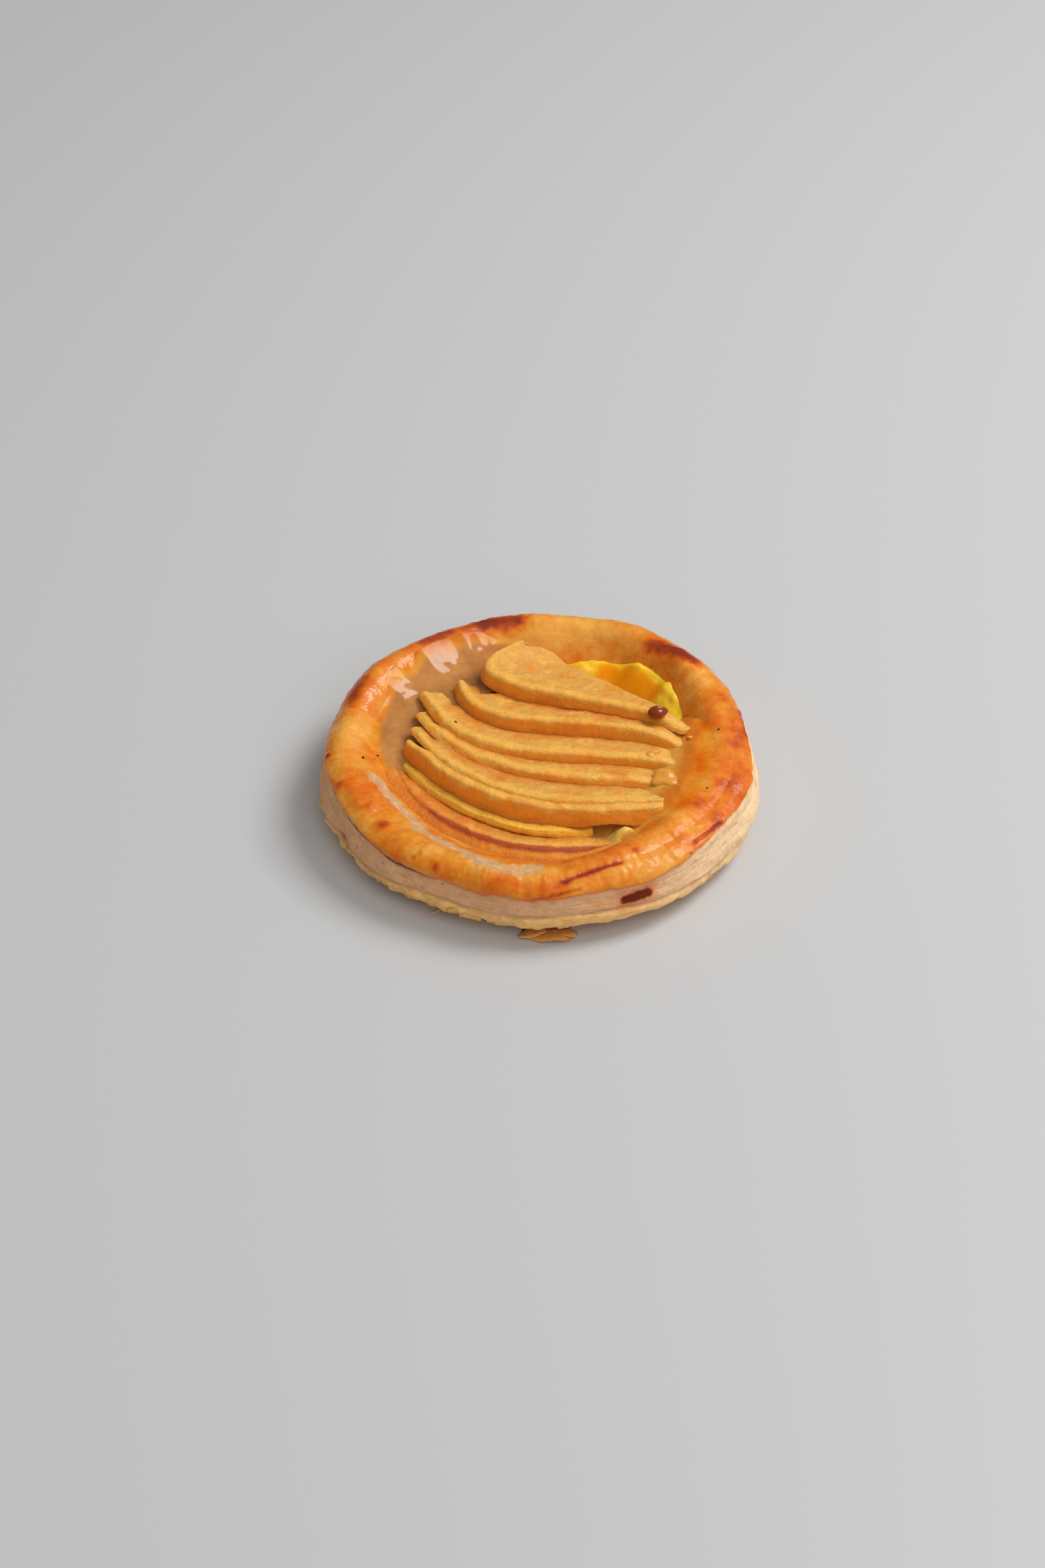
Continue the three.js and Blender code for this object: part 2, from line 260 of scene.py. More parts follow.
def well_shift(radius, angle):
    share = smooth(radius, 0, FLOOR_R) * falling(radius, LIP_R, CROWN_R)
    return -sum(reach * share * around(angle, bearing, spread) for bearing, spread, reach in SWELLS)


def wall_radius(height):
    radii = np.linspace(FLOOR_R, CROWN_R, 400)
    return np.interp(height, dough_height(radii), radii) - 1.4 * GAP


def custard_lift(radius, angle):
    close = smooth(radius, CUSTARD_FLAT_R, wall_radius(CUSTARD_EDGE) - 1)
    return CUSTARD_RISE * close * around(angle, *CUSTARD_AT)


def custard_top(radius, angle):
    out = smooth(radius, CUSTARD_FLAT_R, wall_radius(CUSTARD_EDGE))
    return lerp(CUSTARD_Z, CUSTARD_EDGE, out) + custard_lift(radius, angle)


def polar(angle, distance):
    return distance * np.array((math.cos(math.radians(angle)), math.sin(math.radians(angle))))


class Crest:
    """The upper front edge of a slice in plan, read by the share of its length."""

    def __init__(self, left, right):
        middle = np.array((0, FAN_Y))
        start = polar(left[0], left[1]) + middle
        end = polar(right[0], right[1]) + middle
        leave = start + polar(left[2], left[3])
        arrive = end + polar(right[2], right[3])
        t = np.linspace(0, 1, CREST_STEPS)[:, None]
        self.line = (1 - t) ** 3 * start + 3 * (1 - t) ** 2 * t * leave
        self.line += 3 * (1 - t) * t**2 * arrive + t**3 * end
        steps = np.linalg.norm(np.diff(self.line, axis=0), axis=1)
        self.length = steps.sum()
        self.share = np.concatenate(([0], np.cumsum(steps))) / self.length
        self.coarse = self.at(np.linspace(0, 1, COARSE_STEPS))

    def at(self, share):
        return np.stack([np.interp(share, self.share, self.line[:, axis]) for axis in (0, 1)], axis=1)

    def heading(self, share):
        run = self.at(np.array([min(share + 0.002, 1)])) - self.at(np.array([max(share - 0.002, 0)]))
        return run[0] / np.linalg.norm(run[0])

    def inside(self, share, depth):
        """The place at the given depth behind the crest."""
        ahead = self.heading(share)
        return self.at(np.array([share]))[0] + depth * np.array((-ahead[1], ahead[0]))

    def behind(self, points):
        """Distance of plan points behind the crest, negative ahead of it."""
        along = np.diff(self.coarse, axis=0)
        away = points[:, None] - self.coarse[None, :-1]
        share = np.einsum("nsk,sk->ns", away, along) / np.einsum("sk,sk->s", along, along)
        share[:, 1:] = np.maximum(share[:, 1:], 0)
        share[:, :-1] = np.minimum(share[:, :-1], 1)
        gap = np.linalg.norm(away - share[..., None] * along, axis=2)
        side = along[:, 0] * away[..., 1] - along[:, 1] * away[..., 0]
        nearest = gap.argmin(axis=1)[:, None]
        return (np.sign(np.take_along_axis(side, nearest, 1)) * np.take_along_axis(gap, nearest, 1))[:, 0]


CRESTS = [Crest(row.left, row.right) for row in SLICES]


def top_face(number, points):
    return SLICES[number].high - FALL * CRESTS[number].behind(points)


def underside(number, points, face):
    angle, radius, dough = solid_dough(points)
    heights = [custard_top(radius, angle), dough, face - SLICES[number].thick - GAP]
    if number > 0:
        heights.append(top_face(number - 1, points))
    return np.max(heights, axis=0)


# Modelling


def fresh_start():
    if bpy.context.object and bpy.context.object.mode != "OBJECT":
        bpy.ops.object.mode_set(mode="OBJECT")
    bpy.ops.object.select_all(action="DESELECT")


def choose(*pieces):
    """Selects the pieces alone, with the first one active."""
    fresh_start()
    for piece in pieces:
        piece.select_set(True)
    bpy.context.view_layer.objects.active = pieces[0]


def started(add, name, **sizes):
    """A plain shape to model from."""
    fresh_start()
    add(**sizes)
    piece = bpy.context.object
    piece.name = piece.data.name = name
    return piece


def grid(name, across, deep):
    return started(bpy.ops.mesh.primitive_grid_add, name, x_subdivisions=across, y_subdivisions=deep, size=1)


def sphere(name, segments, rings):
    return started(bpy.ops.mesh.primitive_uv_sphere_add, name, segments=segments, ring_count=rings, radius=1)


def face_outward():
    """Turns all faces of the piece in edit mode outward and leaves the mode."""
    bpy.ops.mesh.select_all(action="SELECT")
    bpy.ops.mesh.normals_make_consistent(inside=False)
    bpy.ops.object.mode_set(mode="OBJECT")


def rolled(name, profile, steps):
    """A grid rolled about the Z axis along a profile into a closed skin, finer towards the front."""
    rows = len(profile) - 1
    piece = grid(name, steps, rows)
    share = places(piece)[:, :2] * MM + 0.5
    turn = math.tau * share[:, 0]
    angle = turn - FINER * np.sin(turn) - math.pi / 2
    radius, height = np.array(profile)[np.rint(share[:, 1] * rows).astype(int)].T
    set_places(piece, ringed(radius, angle, height))
    bpy.ops.object.mode_set(mode="EDIT")
    bpy.ops.mesh.select_all(action="SELECT")
    bpy.ops.mesh.remove_doubles(threshold=MM * SAME_PLACE)
    bpy.ops.mesh.dissolve_degenerate(threshold=MM * NO_LENGTH)
    face_outward()
    return piece


def slab(name, across, deep, rows):
    """A grid of the given cells, extruded down row by row, with sides from 0 to 1."""
    piece = grid(name, across, deep)
    bpy.ops.object.mode_set(mode="EDIT")
    bpy.ops.mesh.select_all(action="SELECT")
    for _ in range(rows):
        bpy.ops.mesh.extrude_region_move(TRANSFORM_OT_translate={"value": (0, 0, -1 / rows)})
    face_outward()
    share = places(piece) * MM
    return piece, share[:, 0] + 0.5, share[:, 1] + 0.5, -share[:, 2]


def read(values, field):
    flat = np.empty(3 * len(values))
    values.foreach_get(field, flat)
    return flat.reshape(-1, 3)


def places(piece):
    """The piece's points in millimetres."""
    return read(piece.data.vertices, "co") / MM


def set_places(piece, points):
    piece.data.vertices.foreach_set("co", (points * MM).ravel())
    piece.data.update()


def facing(piece):
    return read(piece.data.vertex_normals, "vector")


def paint(piece, name, values):
    """Keeps a colour or a number for each point of the piece, for its material."""
    values = np.clip(np.asarray(values, float), 0, 1)
    if values.ndim == 2:
        layer = piece.data.color_attributes.new(name, "FLOAT_COLOR", "POINT")
        layer.data.foreach_set("color", np.column_stack((values, np.ones(len(values)))).ravel())
    else:
        layer = piece.data.attributes.new(name, "FLOAT", "POINT")
        layer.data.foreach_set("value", values)


def joined(pieces, name):
    choose(*pieces)
    bpy.ops.object.join()
    pieces[0].name = pieces[0].data.name = name
    return pieces[0]


def placed(piece, finish, slot, *nodes):
    """Smooths a finished piece, gives it its material and ties it to the frame."""
    choose(piece)
    bpy.ops.object.shade_smooth()
    piece.data.materials.clear()
    piece.data.materials.append(finish)
    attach(piece, BODY)
    if nodes:
        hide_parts(*nodes)


class Finish:
    """A material built up round one shader, reading the piece's own coordinates and painted values."""

    def __init__(self, name, **sockets):
        self.material = bpy.data.materials.new(name)
        self.material.use_nodes = True
        self.tree = self.material.node_tree
        self.tree.nodes.clear()
        values = {socket.replace("_", " "): value for socket, value in sockets.items()}
        self.shader = self.node("BsdfPrincipled", values)
        self.node("OutputMaterial", {"Surface": self.shader.outputs[0]})
        self.coordinates = self.node("TexCoord").outputs["Object"]

    def node(self, kind, inputs=None, **traits):
        """A node of the given kind, with a value or another node's output at each of its inputs."""
        node = self.tree.nodes.new("ShaderNode" + kind)
        for name, value in traits.items():
            setattr(node, name, value)
        for socket, value in (inputs or {}).items():
            if isinstance(value, bpy.types.NodeSocket):
                self.tree.links.new(value, node.inputs[socket])
            else:
                node.inputs[socket].default_value = value
        return node

    def feed(self, socket, source):
        self.tree.links.new(source, self.shader.inputs[socket])

    def painted(self, name, output="Fac"):
        return self.node("Attribute", attribute_name=name).outputs[output]

    def noise(self, size, detail=3, stretch=(1, 1, 1), rough=0.5):
        mapping = self.node("Mapping", {"Scale": stretch, "Vector": self.coordinates})
        inputs = {"Scale": 1 / (size * MM), "Detail": detail, "Roughness": rough}
        return self.node("TexNoise", {**inputs, "Vector": mapping.outputs[0]}).outputs["Fac"]

    def scaled(self, source, *ends):
        """The source brought from one span to another, given by the ends of both."""
        spans = dict(zip(("From Min", "From Max", "To Min", "To Max"), ends))
        return self.node("MapRange", {"Value": source, **spans}).outputs[0]

    def maths(self, operation, first, second):
        return self.node("Math", {0: first, 1: second}, operation=operation).outputs[0]

    def mottled(self, size, low, high, detail=3, span=NOISE_SPAN):
        """Noise brought from its usual span to the given values."""
        return self.scaled(self.noise(size, detail), *span, low, high)

    def coloured(self, size, low, high, detail=4):
        """Feeds the painted colour, times noise of the given size."""
        inputs = {"Factor": 1, 6: self.painted("tint", "Color"), 7: self.mottled(size, low, high, detail)}
        mixed = self.node("Mix", inputs, data_type="RGBA", blend_type="MULTIPLY")
        self.feed("Base Color", mixed.outputs[2])

    def bump(self, height, depth, strength, over=None):
        inputs = {"Strength": strength, "Distance": depth * MM, "Height": height}
        if over:
            inputs["Normal"] = over
        return self.node("Bump", inputs).outputs[0]


# Settings


def colour(label, text, value):
    return bpy.props.FloatVectorProperty(
        name=label, description=text, default=value, subtype="COLOR", size=3, min=0, max=1
    )


def length(label, text, value):
    return bpy.props.FloatProperty(
        name=label, description=text, default=value * MM, unit="LENGTH", precision=5
    )


def power(label, text, value):
    return bpy.props.FloatProperty(name=label, description=text, default=value, unit="POWER")


class TartPastrySettings(bpy.types.PropertyGroup):
    """Colours and relief of the pastry"""

    pale: colour("Pale skin", "Skin that took little heat", (0.87, 0.4, 0.065))
    amber: colour("Amber skin", "Evenly baked skin", (0.8, 0.26, 0.02))
    orange: colour("Orange skin", "Well baked skin", (0.74, 0.15, 0.006))
    brown: colour("Brown skin", "Dark baked skin", (0.45, 0.06, 0.01))
    burnt: colour("Burnt skin", "Scorched spots", (0.25, 0.028, 0.004))
    torn: colour("Torn dough", "Pale dough where the skin tore", (0.6, 0.36, 0.17))
    upper: colour("Upper leaves", "Leaves of the side near the skin", (0.74, 0.4, 0.2))
    lower: colour("Lower leaves", "Leaves of the side near the base", (0.95, 0.54, 0.19))
    toasted: colour("Toasted leaves", "Leaves that browned", (0.7, 0.31, 0.07))
    # Cream: the leaves' own tone, and on the right side also painted light where the side faces the key light
    cream: colour("Cream leaves", "Leaves of the side at the right", (0.92, 0.64, 0.37))
    speck: colour("Specks", "Dark specks on the skin", (0.02, 0.008, 0.006))
    # Painted shade: a dark line laid under the edge of the skin at the left
    under_edge_shade: colour("Rind", "Dark line under the edge of the skin", (0.13, 0.05, 0.04))
    flake: length("Flake", "Thickness of the flakes that stand off", 0.28)
    leaf: length("Leaf", "Thickness of a leaf of the side", 0.85)
    leaf_relief: length("Leaf relief", "How far leaves stand out or fall back", 0.13)
    seam: length("Seam", "Depth of the seams between leaves", 0.13)


class TartCustardSettings(bpy.types.PropertyGroup):
    """Colours and relief of the custard"""

    yellow: colour("Custard", "Set custard", (0.95, 0.58, 0.02))
    pale: colour("Pale custard", "Custard that shows at the front", (0.87, 0.58, 0.11))
    syrup: colour("Syrup", "Custard under a pool of syrup", (1, 0.34, 0.001))
    lumps: length("Lumps", "Height of the lumps", 0.7)


class TartAppleSettings(bpy.types.PropertyGroup):
    """Colours and unevenness of the slices"""

    # Crest: the slices' yellow tone, also laid along the rounded crest as a painted highlight
    crest: colour("Crest", "Upper edge of a slice", (0.95, 0.5, 0.075))
    strip: colour("Face", "Cut face of a slice", (0.77, 0.385, 0.08))
    band: colour("Front", "Front of a slice", (0.86, 0.3, 0.02))
    # Foot: painted shade where a slice meets the one before, and towards the bottom of each front partly
    # browning, partly painted shade
    foot: colour("Foot", "Where a slice meets the one before", (0.68, 0.2, 0.022))
    rust: colour("Rust", "Browned left end of the first slice", (0.76, 0.21, 0.02))
    # Caramel: real browning on the first slice, and painted shade in the seam under the last slice
    caramel: colour("Caramel", "Browned edge of the first slice", (0.48, 0.09, 0.02))
    pip: colour("Pip", "Pip on the last slice", (0.25, 0.036, 0.007))
    unevenness: length("Unevenness", "How far a crest wanders", 0.38)
    rounding: length("Rounding", "How soft the crests are", 2.2)


class TartGlazeSettings(bpy.types.PropertyGroup):
    """Colour and relief of the glaze"""

    gel: colour("Gel", "Set glaze where it lies deep", (0.53, 0.225, 0.068))
    amber: colour("Amber gel", "Set glaze at the right", (0.6, 0.165, 0.018))
    film: colour("Film", "Wet spots on the slices", (0.72, 0.31, 0.05))
    film_depth: length("Film depth", "How thick the glaze lies on the roll", 0.12)
    ripple: length("Ripple", "Height of the ripples on the glaze", 0.5)


class TartStageSettings(bpy.types.PropertyGroup):
    """Floor and light"""

    floor: colour("Floor", "Floor under the tart", (0.57, 0.57, 0.57))
    key: power("Key light", "Softbox at the right", 11.2)
    fill: power("Fill light", "Softbox in front", 26)
    room: bpy.props.FloatProperty(name="Room light", description="Even light of the room", default=0.34)


def settings(group):
    return getattr(bpy.context.scene, "tart_" + group)


# Pastry

# Height of the edge of the glazed skin, by bearing
SKIN_EDGE = [
    (-180, 16.2), (-160, 15.8), (-147, 14.6), (-131, 13.2), (-118, 12.9), (-91, 12.7), (-80, 13.9),
    (-61, 13.4), (-45, 14.7), (-33, 14.9), (-10, 15.6), (5, 16.9), (25, 17), (60, 16.4),
    (100, 16.6), (140, 16.8), (180, 16.2),
]
# Broad areas of the skin that took more or less heat, and in the last row painted shade in the groove at the
# right: bearing, spread, radius, width and amount
HEAT = [
    (75, 34, 47, 5, -0.2), (88, 34, 42, 3.5, -0.3), (-112, 50, 40.5, 2.5, 0.3), (-148, 16, 52, 2.5, -0.2),
    (44, 16, 48.5, 2.4, 0.3), (20, 22, 48, 5, 0.12), (0, 18, 50.5, 3, 0.22), (-25, 28, 48, 4.5, 0.14),
    (-28, 30, 52, 2, 0.22), (-60, 24, 50.5, 3.5, -0.04), (-95, 28, 52, 2, 0.28), (-92, 30, 47, 2.5, -0.08),
    (-125, 22, 49, 4, 0.08), (-155, 20, 49, 4, 0.2), (178, 22, 46, 5, -0.16), (153, 20, 50, 3.5, 0.26),
    (120, 28, 48.2, 3.5, 0.45), (130, 45, 42.5, 3, -0.12), (-16, 32, 47.5, 3.5, 0.17),
    # Painted shade, not heat: darkens the inner slope in the groove between the slices and the roll at the
    # right
    (0, 40, 38.5, 2.5, 0.16),
]
HEAT_STOPS = (0.05, 0.32, 0.58, 0.84, 1.1)
# Scorched places: path, width and amount
SCORCH = [
    ([(-13.5, 46.2, 20.2), (-9, 46.6, 20.6), (-5.6, 46.6, 20.8)], 2.5, 0.85),
    ([(29.5, 37, 20), (34.6, 33.6, 20.7), (40, 29.5, 20.2)], 2.2, 0.7),
    ([(50.6, 12, 17.4), (51, 7, 17.2), (51, 3, 16.8)], 0.9, 0.6),
    ([(-44, 23, 19.8), (-46.5, 17, 19.4)], 2.2, 0.3),
    ([(5.7, -50.5, 15.6), (12.6, -47.5, 16.6), (19.1, -45, 16.9)], 0.8, 0.75),
    ([(-1.5, -53.5, 12.9), (4, -52.8, 13.8), (9.3, -51.9, 14.6)], 0.6, 0.5),
    ([(36.9, -36.2, 15.8), (43.3, -28.5, 15.2)], 0.7, 0.5),
    ([(22.3, -41, 16.8), (22.8, -41, 16.8)], 0.9, 0.9),
]
# Blisters: place, radius, height and how dark
BLISTERS = [
    (-48, -17, 17, 1.7, 0.45, 0.8), (-36.9, -30.8, 16.5, 2, 0.55, 0.8),
    (-24.2, -44.3, 15.2, 1.4, 0.4, 0.7), (-51.4, -4.9, 17, 1.2, 0.35, 0.85),
    (-27.6, -40.5, 16.1, 0.9, 0.3, 0.5), (-29.4, -41.2, 15.7, 0.8, 0.3, 0.5),
    (-41, -24.5, 16.8, 1.3, 0.3, 0.4), (-44.6, -22, 16.2, 1, 0.25, 0.5),
]
# Paths of the torn strip, of the painted shade line under the edge of the skin and of the burnt bar, and the
# hollow at the left
TORN = [
    (-40.2, -11.6, 15.7), (-36.7, -16.4, 14.8), (-31.1, -24.3, 13.6), (-27.4, -31.4, 14.7),
    (-18, -38.9, 15.4), (-13.2, -44.2, 16.8), (-9, -47.1, 16.7), (-4.6, -47.2, 16.3), (-0.7, -45.5, 15.9),
]
EDGE_SHADE_PATH = [
    (-52.2, -1.3, 16), (-49, -17.7, 15.5), (-43.9, -28.5, 14.3), (-34.7, -39.3, 12.8), (-25, -45.4, 12.5),
]
BAR = [(20.2, -50.4, 10.2), (25.7, -47.9, 10.5)]
POCKET = (-47.7, -25, 7.4)
POCKET_SIZE, POCKET_DEPTH = 2.6, 1.8
DENTED = SCORCH[4:7]
DENT_WIDTH, DENT_DEPTH = 0.5, 0.35
# Bearings and spreads of the craggy foot, the cream leaves, which also carry painted light on the side
# towards the key light, the front and the foot that spreads
CRAGGY = (-140, 80)
CREAM_LIT_SIDE = (-15, 75)
FRONT = (-80, 90)
SPREADING = (-40, 65)
FOOT_RISE, FOOT_SPREAD = 1.9, 1.5
# Where the glaze on the skin is duller: bearing, spread and amount
DULL = [(-26, 50, 0.75), (135, 60, 0.4), (-66, 30, 0.5)]
# Noise on the pastry: how much, the size of its lumps and its seed
BROWNING = [(0.26, 9, 11), (0.15, 3.2, 12), (0.07, 1.1, 13)]
EDGE_WANDER = [(0.4, 7, 1), (0.25, 2.2, 2)]
LEDGE_WANDER = [(0.7, 16, 3), (0.35, 4, 4)]
LEAF_WANDER = [(0.5, 15, 5), (0.15, 4, 6)]
LEAF_STAND = [(1, 9, 7), (0.6, 3, 8)]
CRAGS = [(0.6, 4.5, 30), (0.4, 1.6, 31)]
FOOT_CRAGS = [(0.9, 5, 22), (0.4, 1.7, 23)]
SKIN_RELIEF = [(0.3, 8, 16), (0.14, 3, 17), (0.05, 1.1, 18)]
TORN_EDGE = [(0.45, 3.2, 20), (0.35, 1.1, 32)]
# Noise drawn out along the side or across the roll: scales of the angle, the radius and the height
PORE_SCALE = (30, 0.2, 1.2)
FOLD_SCALE = (50, 0.3, 0.45)
WRINKLE_SCALE = (50, 0.18, 0.18)
STREAK_SCALE = (50, 0.25, 0.25)
FIBRE_SCALE = (12, 1, 1)
# How far apart the noise of two leaves lies, and the height up to which the base lies on the floor
LEAF_APART, ON_FLOOR = 41.7, 0.05


def foot_lift(angle, height):
    """How far the lowest edge stands off the floor, most at the front."""
    return FOOT_RISE * around(angle, *FRONT) * falling(height, 1.4, 6)


def bulge(share):
    """How far the side swells out, by the share of its height."""
    return (WIDTH / 2 - (FOOT_R + SKIRT_R) / 2) * math.sin(math.pi * share)


def curve(start, end, leave, arrive, t):
    """A place on the curve between two ends that it leaves and reaches in the given directions."""
    swing = 2 * start - 2 * end + leave + arrive
    return swing * t**3 + (3 * end - 3 * start - 2 * leave - arrive) * t**2 + leave * t + start


def pastry_profile():
    rows = [(radius, 0) for radius in (0, 16, 30, 41, BASE_R)]
    rows += [(lerp(BASE_R, FOOT_R, t), FOOT_Z * t**1.6) for t in (0.3, 0.55, 0.75, 0.9)]
    for t in np.linspace(0, 1, SIDE_ROWS):
        rows.append((lerp(FOOT_R, SKIRT_R, t) + bulge(t), lerp(FOOT_Z, SKIRT_Z, t)))
    low, high = np.array((SKIRT_R, SKIRT_Z)), np.array((CROWN_R, CROWN_Z))
    mid = low + (high - low) * SHOULDER
    slopes = (mid - low) / 2, (high - low) / 2, (high - mid) * CROWN_SLOPE
    for t in np.linspace(0, 2, ROLL_ROWS)[1:]:
        run = (low, mid, *slopes[:2], t) if t <= 1 else (mid, high, *slopes[1:], t - 1)
        rows.append(tuple(curve(*run)))
    inner = [*np.linspace(CROWN_R, LIP_R, INNER_ROWS)[1:], *np.linspace(LIP_R, FLOOR_R, 8)[1:], 24, 12, 0]
    return rows + [(radius, float(dough_height(radius))) for radius in inner]


def heat_of_skin(points):
    """How far the skin is baked, from 0 for pale to 1 for burnt."""
    angle, radius = turns(points)
    heat = HEAT_STOPS[1] + layered(points, BROWNING)
    heat += 0.1 * grain(np.column_stack((angle, radius, points[:, 2])) * STREAK_SCALE, 1.4, 33)
    for bearing, spread, middle, width, amount in HEAT:
        heat += amount * around(angle, bearing, spread) * hill(radius - middle, width)
    ragged = 1 + 0.35 * grain(points, 1.6, 14)
    for path, width, amount in SCORCH:
        heat += amount * hill(near(points, path), width * ragged)
    ragged = 1 + 0.3 * grain(points, 1, 15)
    for *place, size, _, dark in BLISTERS:
        heat += dark * hill(np.linalg.norm(points - place, axis=1) * ragged, size * 0.75)
    return heat


def skin_colour(points):
    looks = settings("pastry")
    colours = [looks.pale, looks.amber, looks.orange, looks.brown, looks.burnt]
    return stops(heat_of_skin(points), HEAT_STOPS, [tuple(value) for value in colours])


def shape_pastry(piece):
    looks = settings("pastry")
    flat = places(piece)
    angle, radius = turns(flat)
    moved = radius + waves(OUTLINE_WAVES, angle) * smooth(radius, LIP_R, FOOT_R) + well_shift(radius, angle)
    height = flat[:, 2] + rim_rise(flat[:, 2], angle)
    puff = puffed(radius, angle) * (height > FLOOR_Z - 1)
    points = ringed(moved, angle, height + puff)
    points[:, :2] += OFF_CENTRE
    set_places(piece, points)
    out = facing(piece)
    unrolled = np.column_stack((angle, radius, height))

    # The side shows pale leaves up to the ragged edge of the skin, and a ledge over the lowest layer
    edge = np.interp(np.degrees(angle), *zip(*SKIN_EDGE)) + layered(points, EDGE_WANDER)
    outside = smooth(radius, CROWN_R + 0.2, CROWN_R + 1.5) * (height > ON_FLOOR)
    crumb = outside * smooth(edge - height, -0.2, 0.3)
    ledge = np.interp(np.degrees(angle), *zip(*LEDGE)) + layered(points, LEDGE_WANDER)
    low = falling(height - ledge, -0.4, 0.3)
    craggy = around(angle, *CRAGGY)
    leaf = looks.leaf / MM
    bent = height + layered(points, LEAF_WANDER)
    number = np.floor(bent / leaf)
    ring = np.column_stack((points[:, :2], LEAF_APART * number))
    stand = layered(ring, LEAF_STAND)
    seams = (2 * (bent / leaf - number) - 1) ** 6 * smooth(grain(points, 6, 9), -0.3, 0.6)
    pores = smooth(grain(unrolled * PORE_SCALE, 0.8, 10), 0.5, 0.85) * (1 - 0.8 * low)
    folds = grain(unrolled * FOLD_SCALE, 3.2, 35)
    uneven = 0.5 + 0.5 * grain(points, 11, 37)
    pocket = hill(np.linalg.norm((points - POCKET) * (1, 1, 1.5), axis=1), POCKET_SIZE)
    side = looks.leaf_relief / MM * stand - looks.seam / MM * seams - 0.22 * pores - 0.3
    side += 0.3 * grain(points * (0.35, 0.35, 1), 2.2, 36) + low * craggy * layered(points, CRAGS)
    side += low * (0.2 + 0.7 * uneven + (0.35 + 0.5 * craggy) * folds)
    side -= 0.5 * uneven * hill(height - ledge, 0.6) + POCKET_DEPTH * pocket

    # The skin has wrinkles, blisters, scorched dents, a raised edge and a torn strip
    skin = layered(points, SKIN_RELIEF)
    skin += 0.13 * grain(unrolled * WRINKLE_SCALE, 1.1, 19) * smooth(radius, CROWN_R - 6, CROWN_R + 1)
    for *place, size, tall, _ in BLISTERS:
        skin += tall * hill(np.linalg.norm(points - place, axis=1), size)
    for path, *_ in DENTED:
        skin -= DENT_DEPTH * hill(near(points, path), DENT_WIDTH)
    skin += 0.3 * hill(np.maximum(height - edge, 0), 1.6) * outside
    ragged = TORN_WIDTH * (1 + layered(points, TORN_EDGE))
    torn = smooth(1.35 - near(points, TORN) / np.maximum(ragged, 0.3), 0, 0.8) * (1 - outside * 0.7)
    fibres = unrolled * FIBRE_SCALE
    skin += torn * (0.35 * grain(fibres, 0.9, 21) - 0.3)
    skin *= smooth(radius, LIP_R - 1, LIP_R + 3)

    # The foot spreads at the right, lifts at the front and is craggy at the left
    lifted = np.where(height > ON_FLOOR, lerp(skin, side, crumb), 0)
    points = points + out * lifted[:, None]
    spread = FOOT_SPREAD * around(angle, *SPREADING) * falling(height, 1, 9)
    points[:, :2] += ringed(spread * smooth(radius, BASE_R, FOOT_R), angle, height)[:, :2]
    points[:, 2] += foot_lift(angle, height) * smooth(radius, BASE_R - 4, FOOT_R)
    foot = hill(height - 0.8, 1.4) * (radius > BASE_R + 1) * (0.6 + 0.9 * craggy)
    points[:, 2] += foot * np.maximum(layered(points, FOOT_CRAGS), 0)
    points[:, 2] = np.maximum(points[:, 2], 0)
    set_places(piece, points)

    # Colours and gloss
    # Cream leaves on the right side: partly their own tone, partly painted light on the side that faces the
    # key light
    leaves = coats(looks.upper, (looks.lower, low), (looks.cream, around(angle, *CREAM_LIT_SIDE) * (1 - 0.3 * low)))
    leaves *= (1 + 0.1 * grain(ring, 5, 26) + 0.08 * grain(points, 1.3, 27))[:, None]
    leaves = blend(leaves, looks.toasted, 0.5 * smooth(grain(points, 3, 25) + 0.4 * stand, 0.2, 0.9))
    # Painted shade: the leaves are darkened in the seams, in the pores, under the ledge and in the hollow
    shade = 0.16 * seams + 0.25 * pores + 0.3 * uneven * hill(height - ledge, 0.45) + 0.5 * pocket
    rimmed = hill(height - edge, 0.5) * outside * (0.35 + 0.65 * around(angle, -110, 80))
    bar = near(points, BAR) * (1 + 0.25 * grain(points, 1.2, 28))
    line = near(points, EDGE_SHADE_PATH) * (1 + 0.3 * grain(points, 2, 29))
    tint = coats(
        skin_colour(points),
        (looks.torn, torn * (0.9 + 0.5 * grain(fibres, 1.4, 24))),
        (looks.cream, 0.45 * torn * smooth(grain(fibres, 0.8, 34), 0.1, 0.7)),
        (leaves * (1 - shade)[:, None], crumb),
        (looks.orange, 0.85 * rimmed),
        (looks.orange, 0.75 * hill(bar, 2.4) * crumb),
        (0.65 * np.array(looks.burnt), smooth(1.5 - bar, 0, 0.8)),
        # Painted shade along the line under the edge of the skin, fading towards the front
        (looks.under_edge_shade, 0.9 * smooth(0.75 - line, 0, 0.5) * smooth(points[:, 1], -47, -40)),
    )
    paint(piece, "tint", tint)
    charred = smooth(heat_of_skin(points), 0.75, 1.1)
    gloss = (1 - crumb) * (1 - 0.6 * charred) * (1 - 0.7 * np.clip(torn, 0, 1))
    for bearing, spread, amount in DULL:
        gloss *= 1 - amount * around(angle, bearing, spread)
    paint(piece, "gloss", gloss)


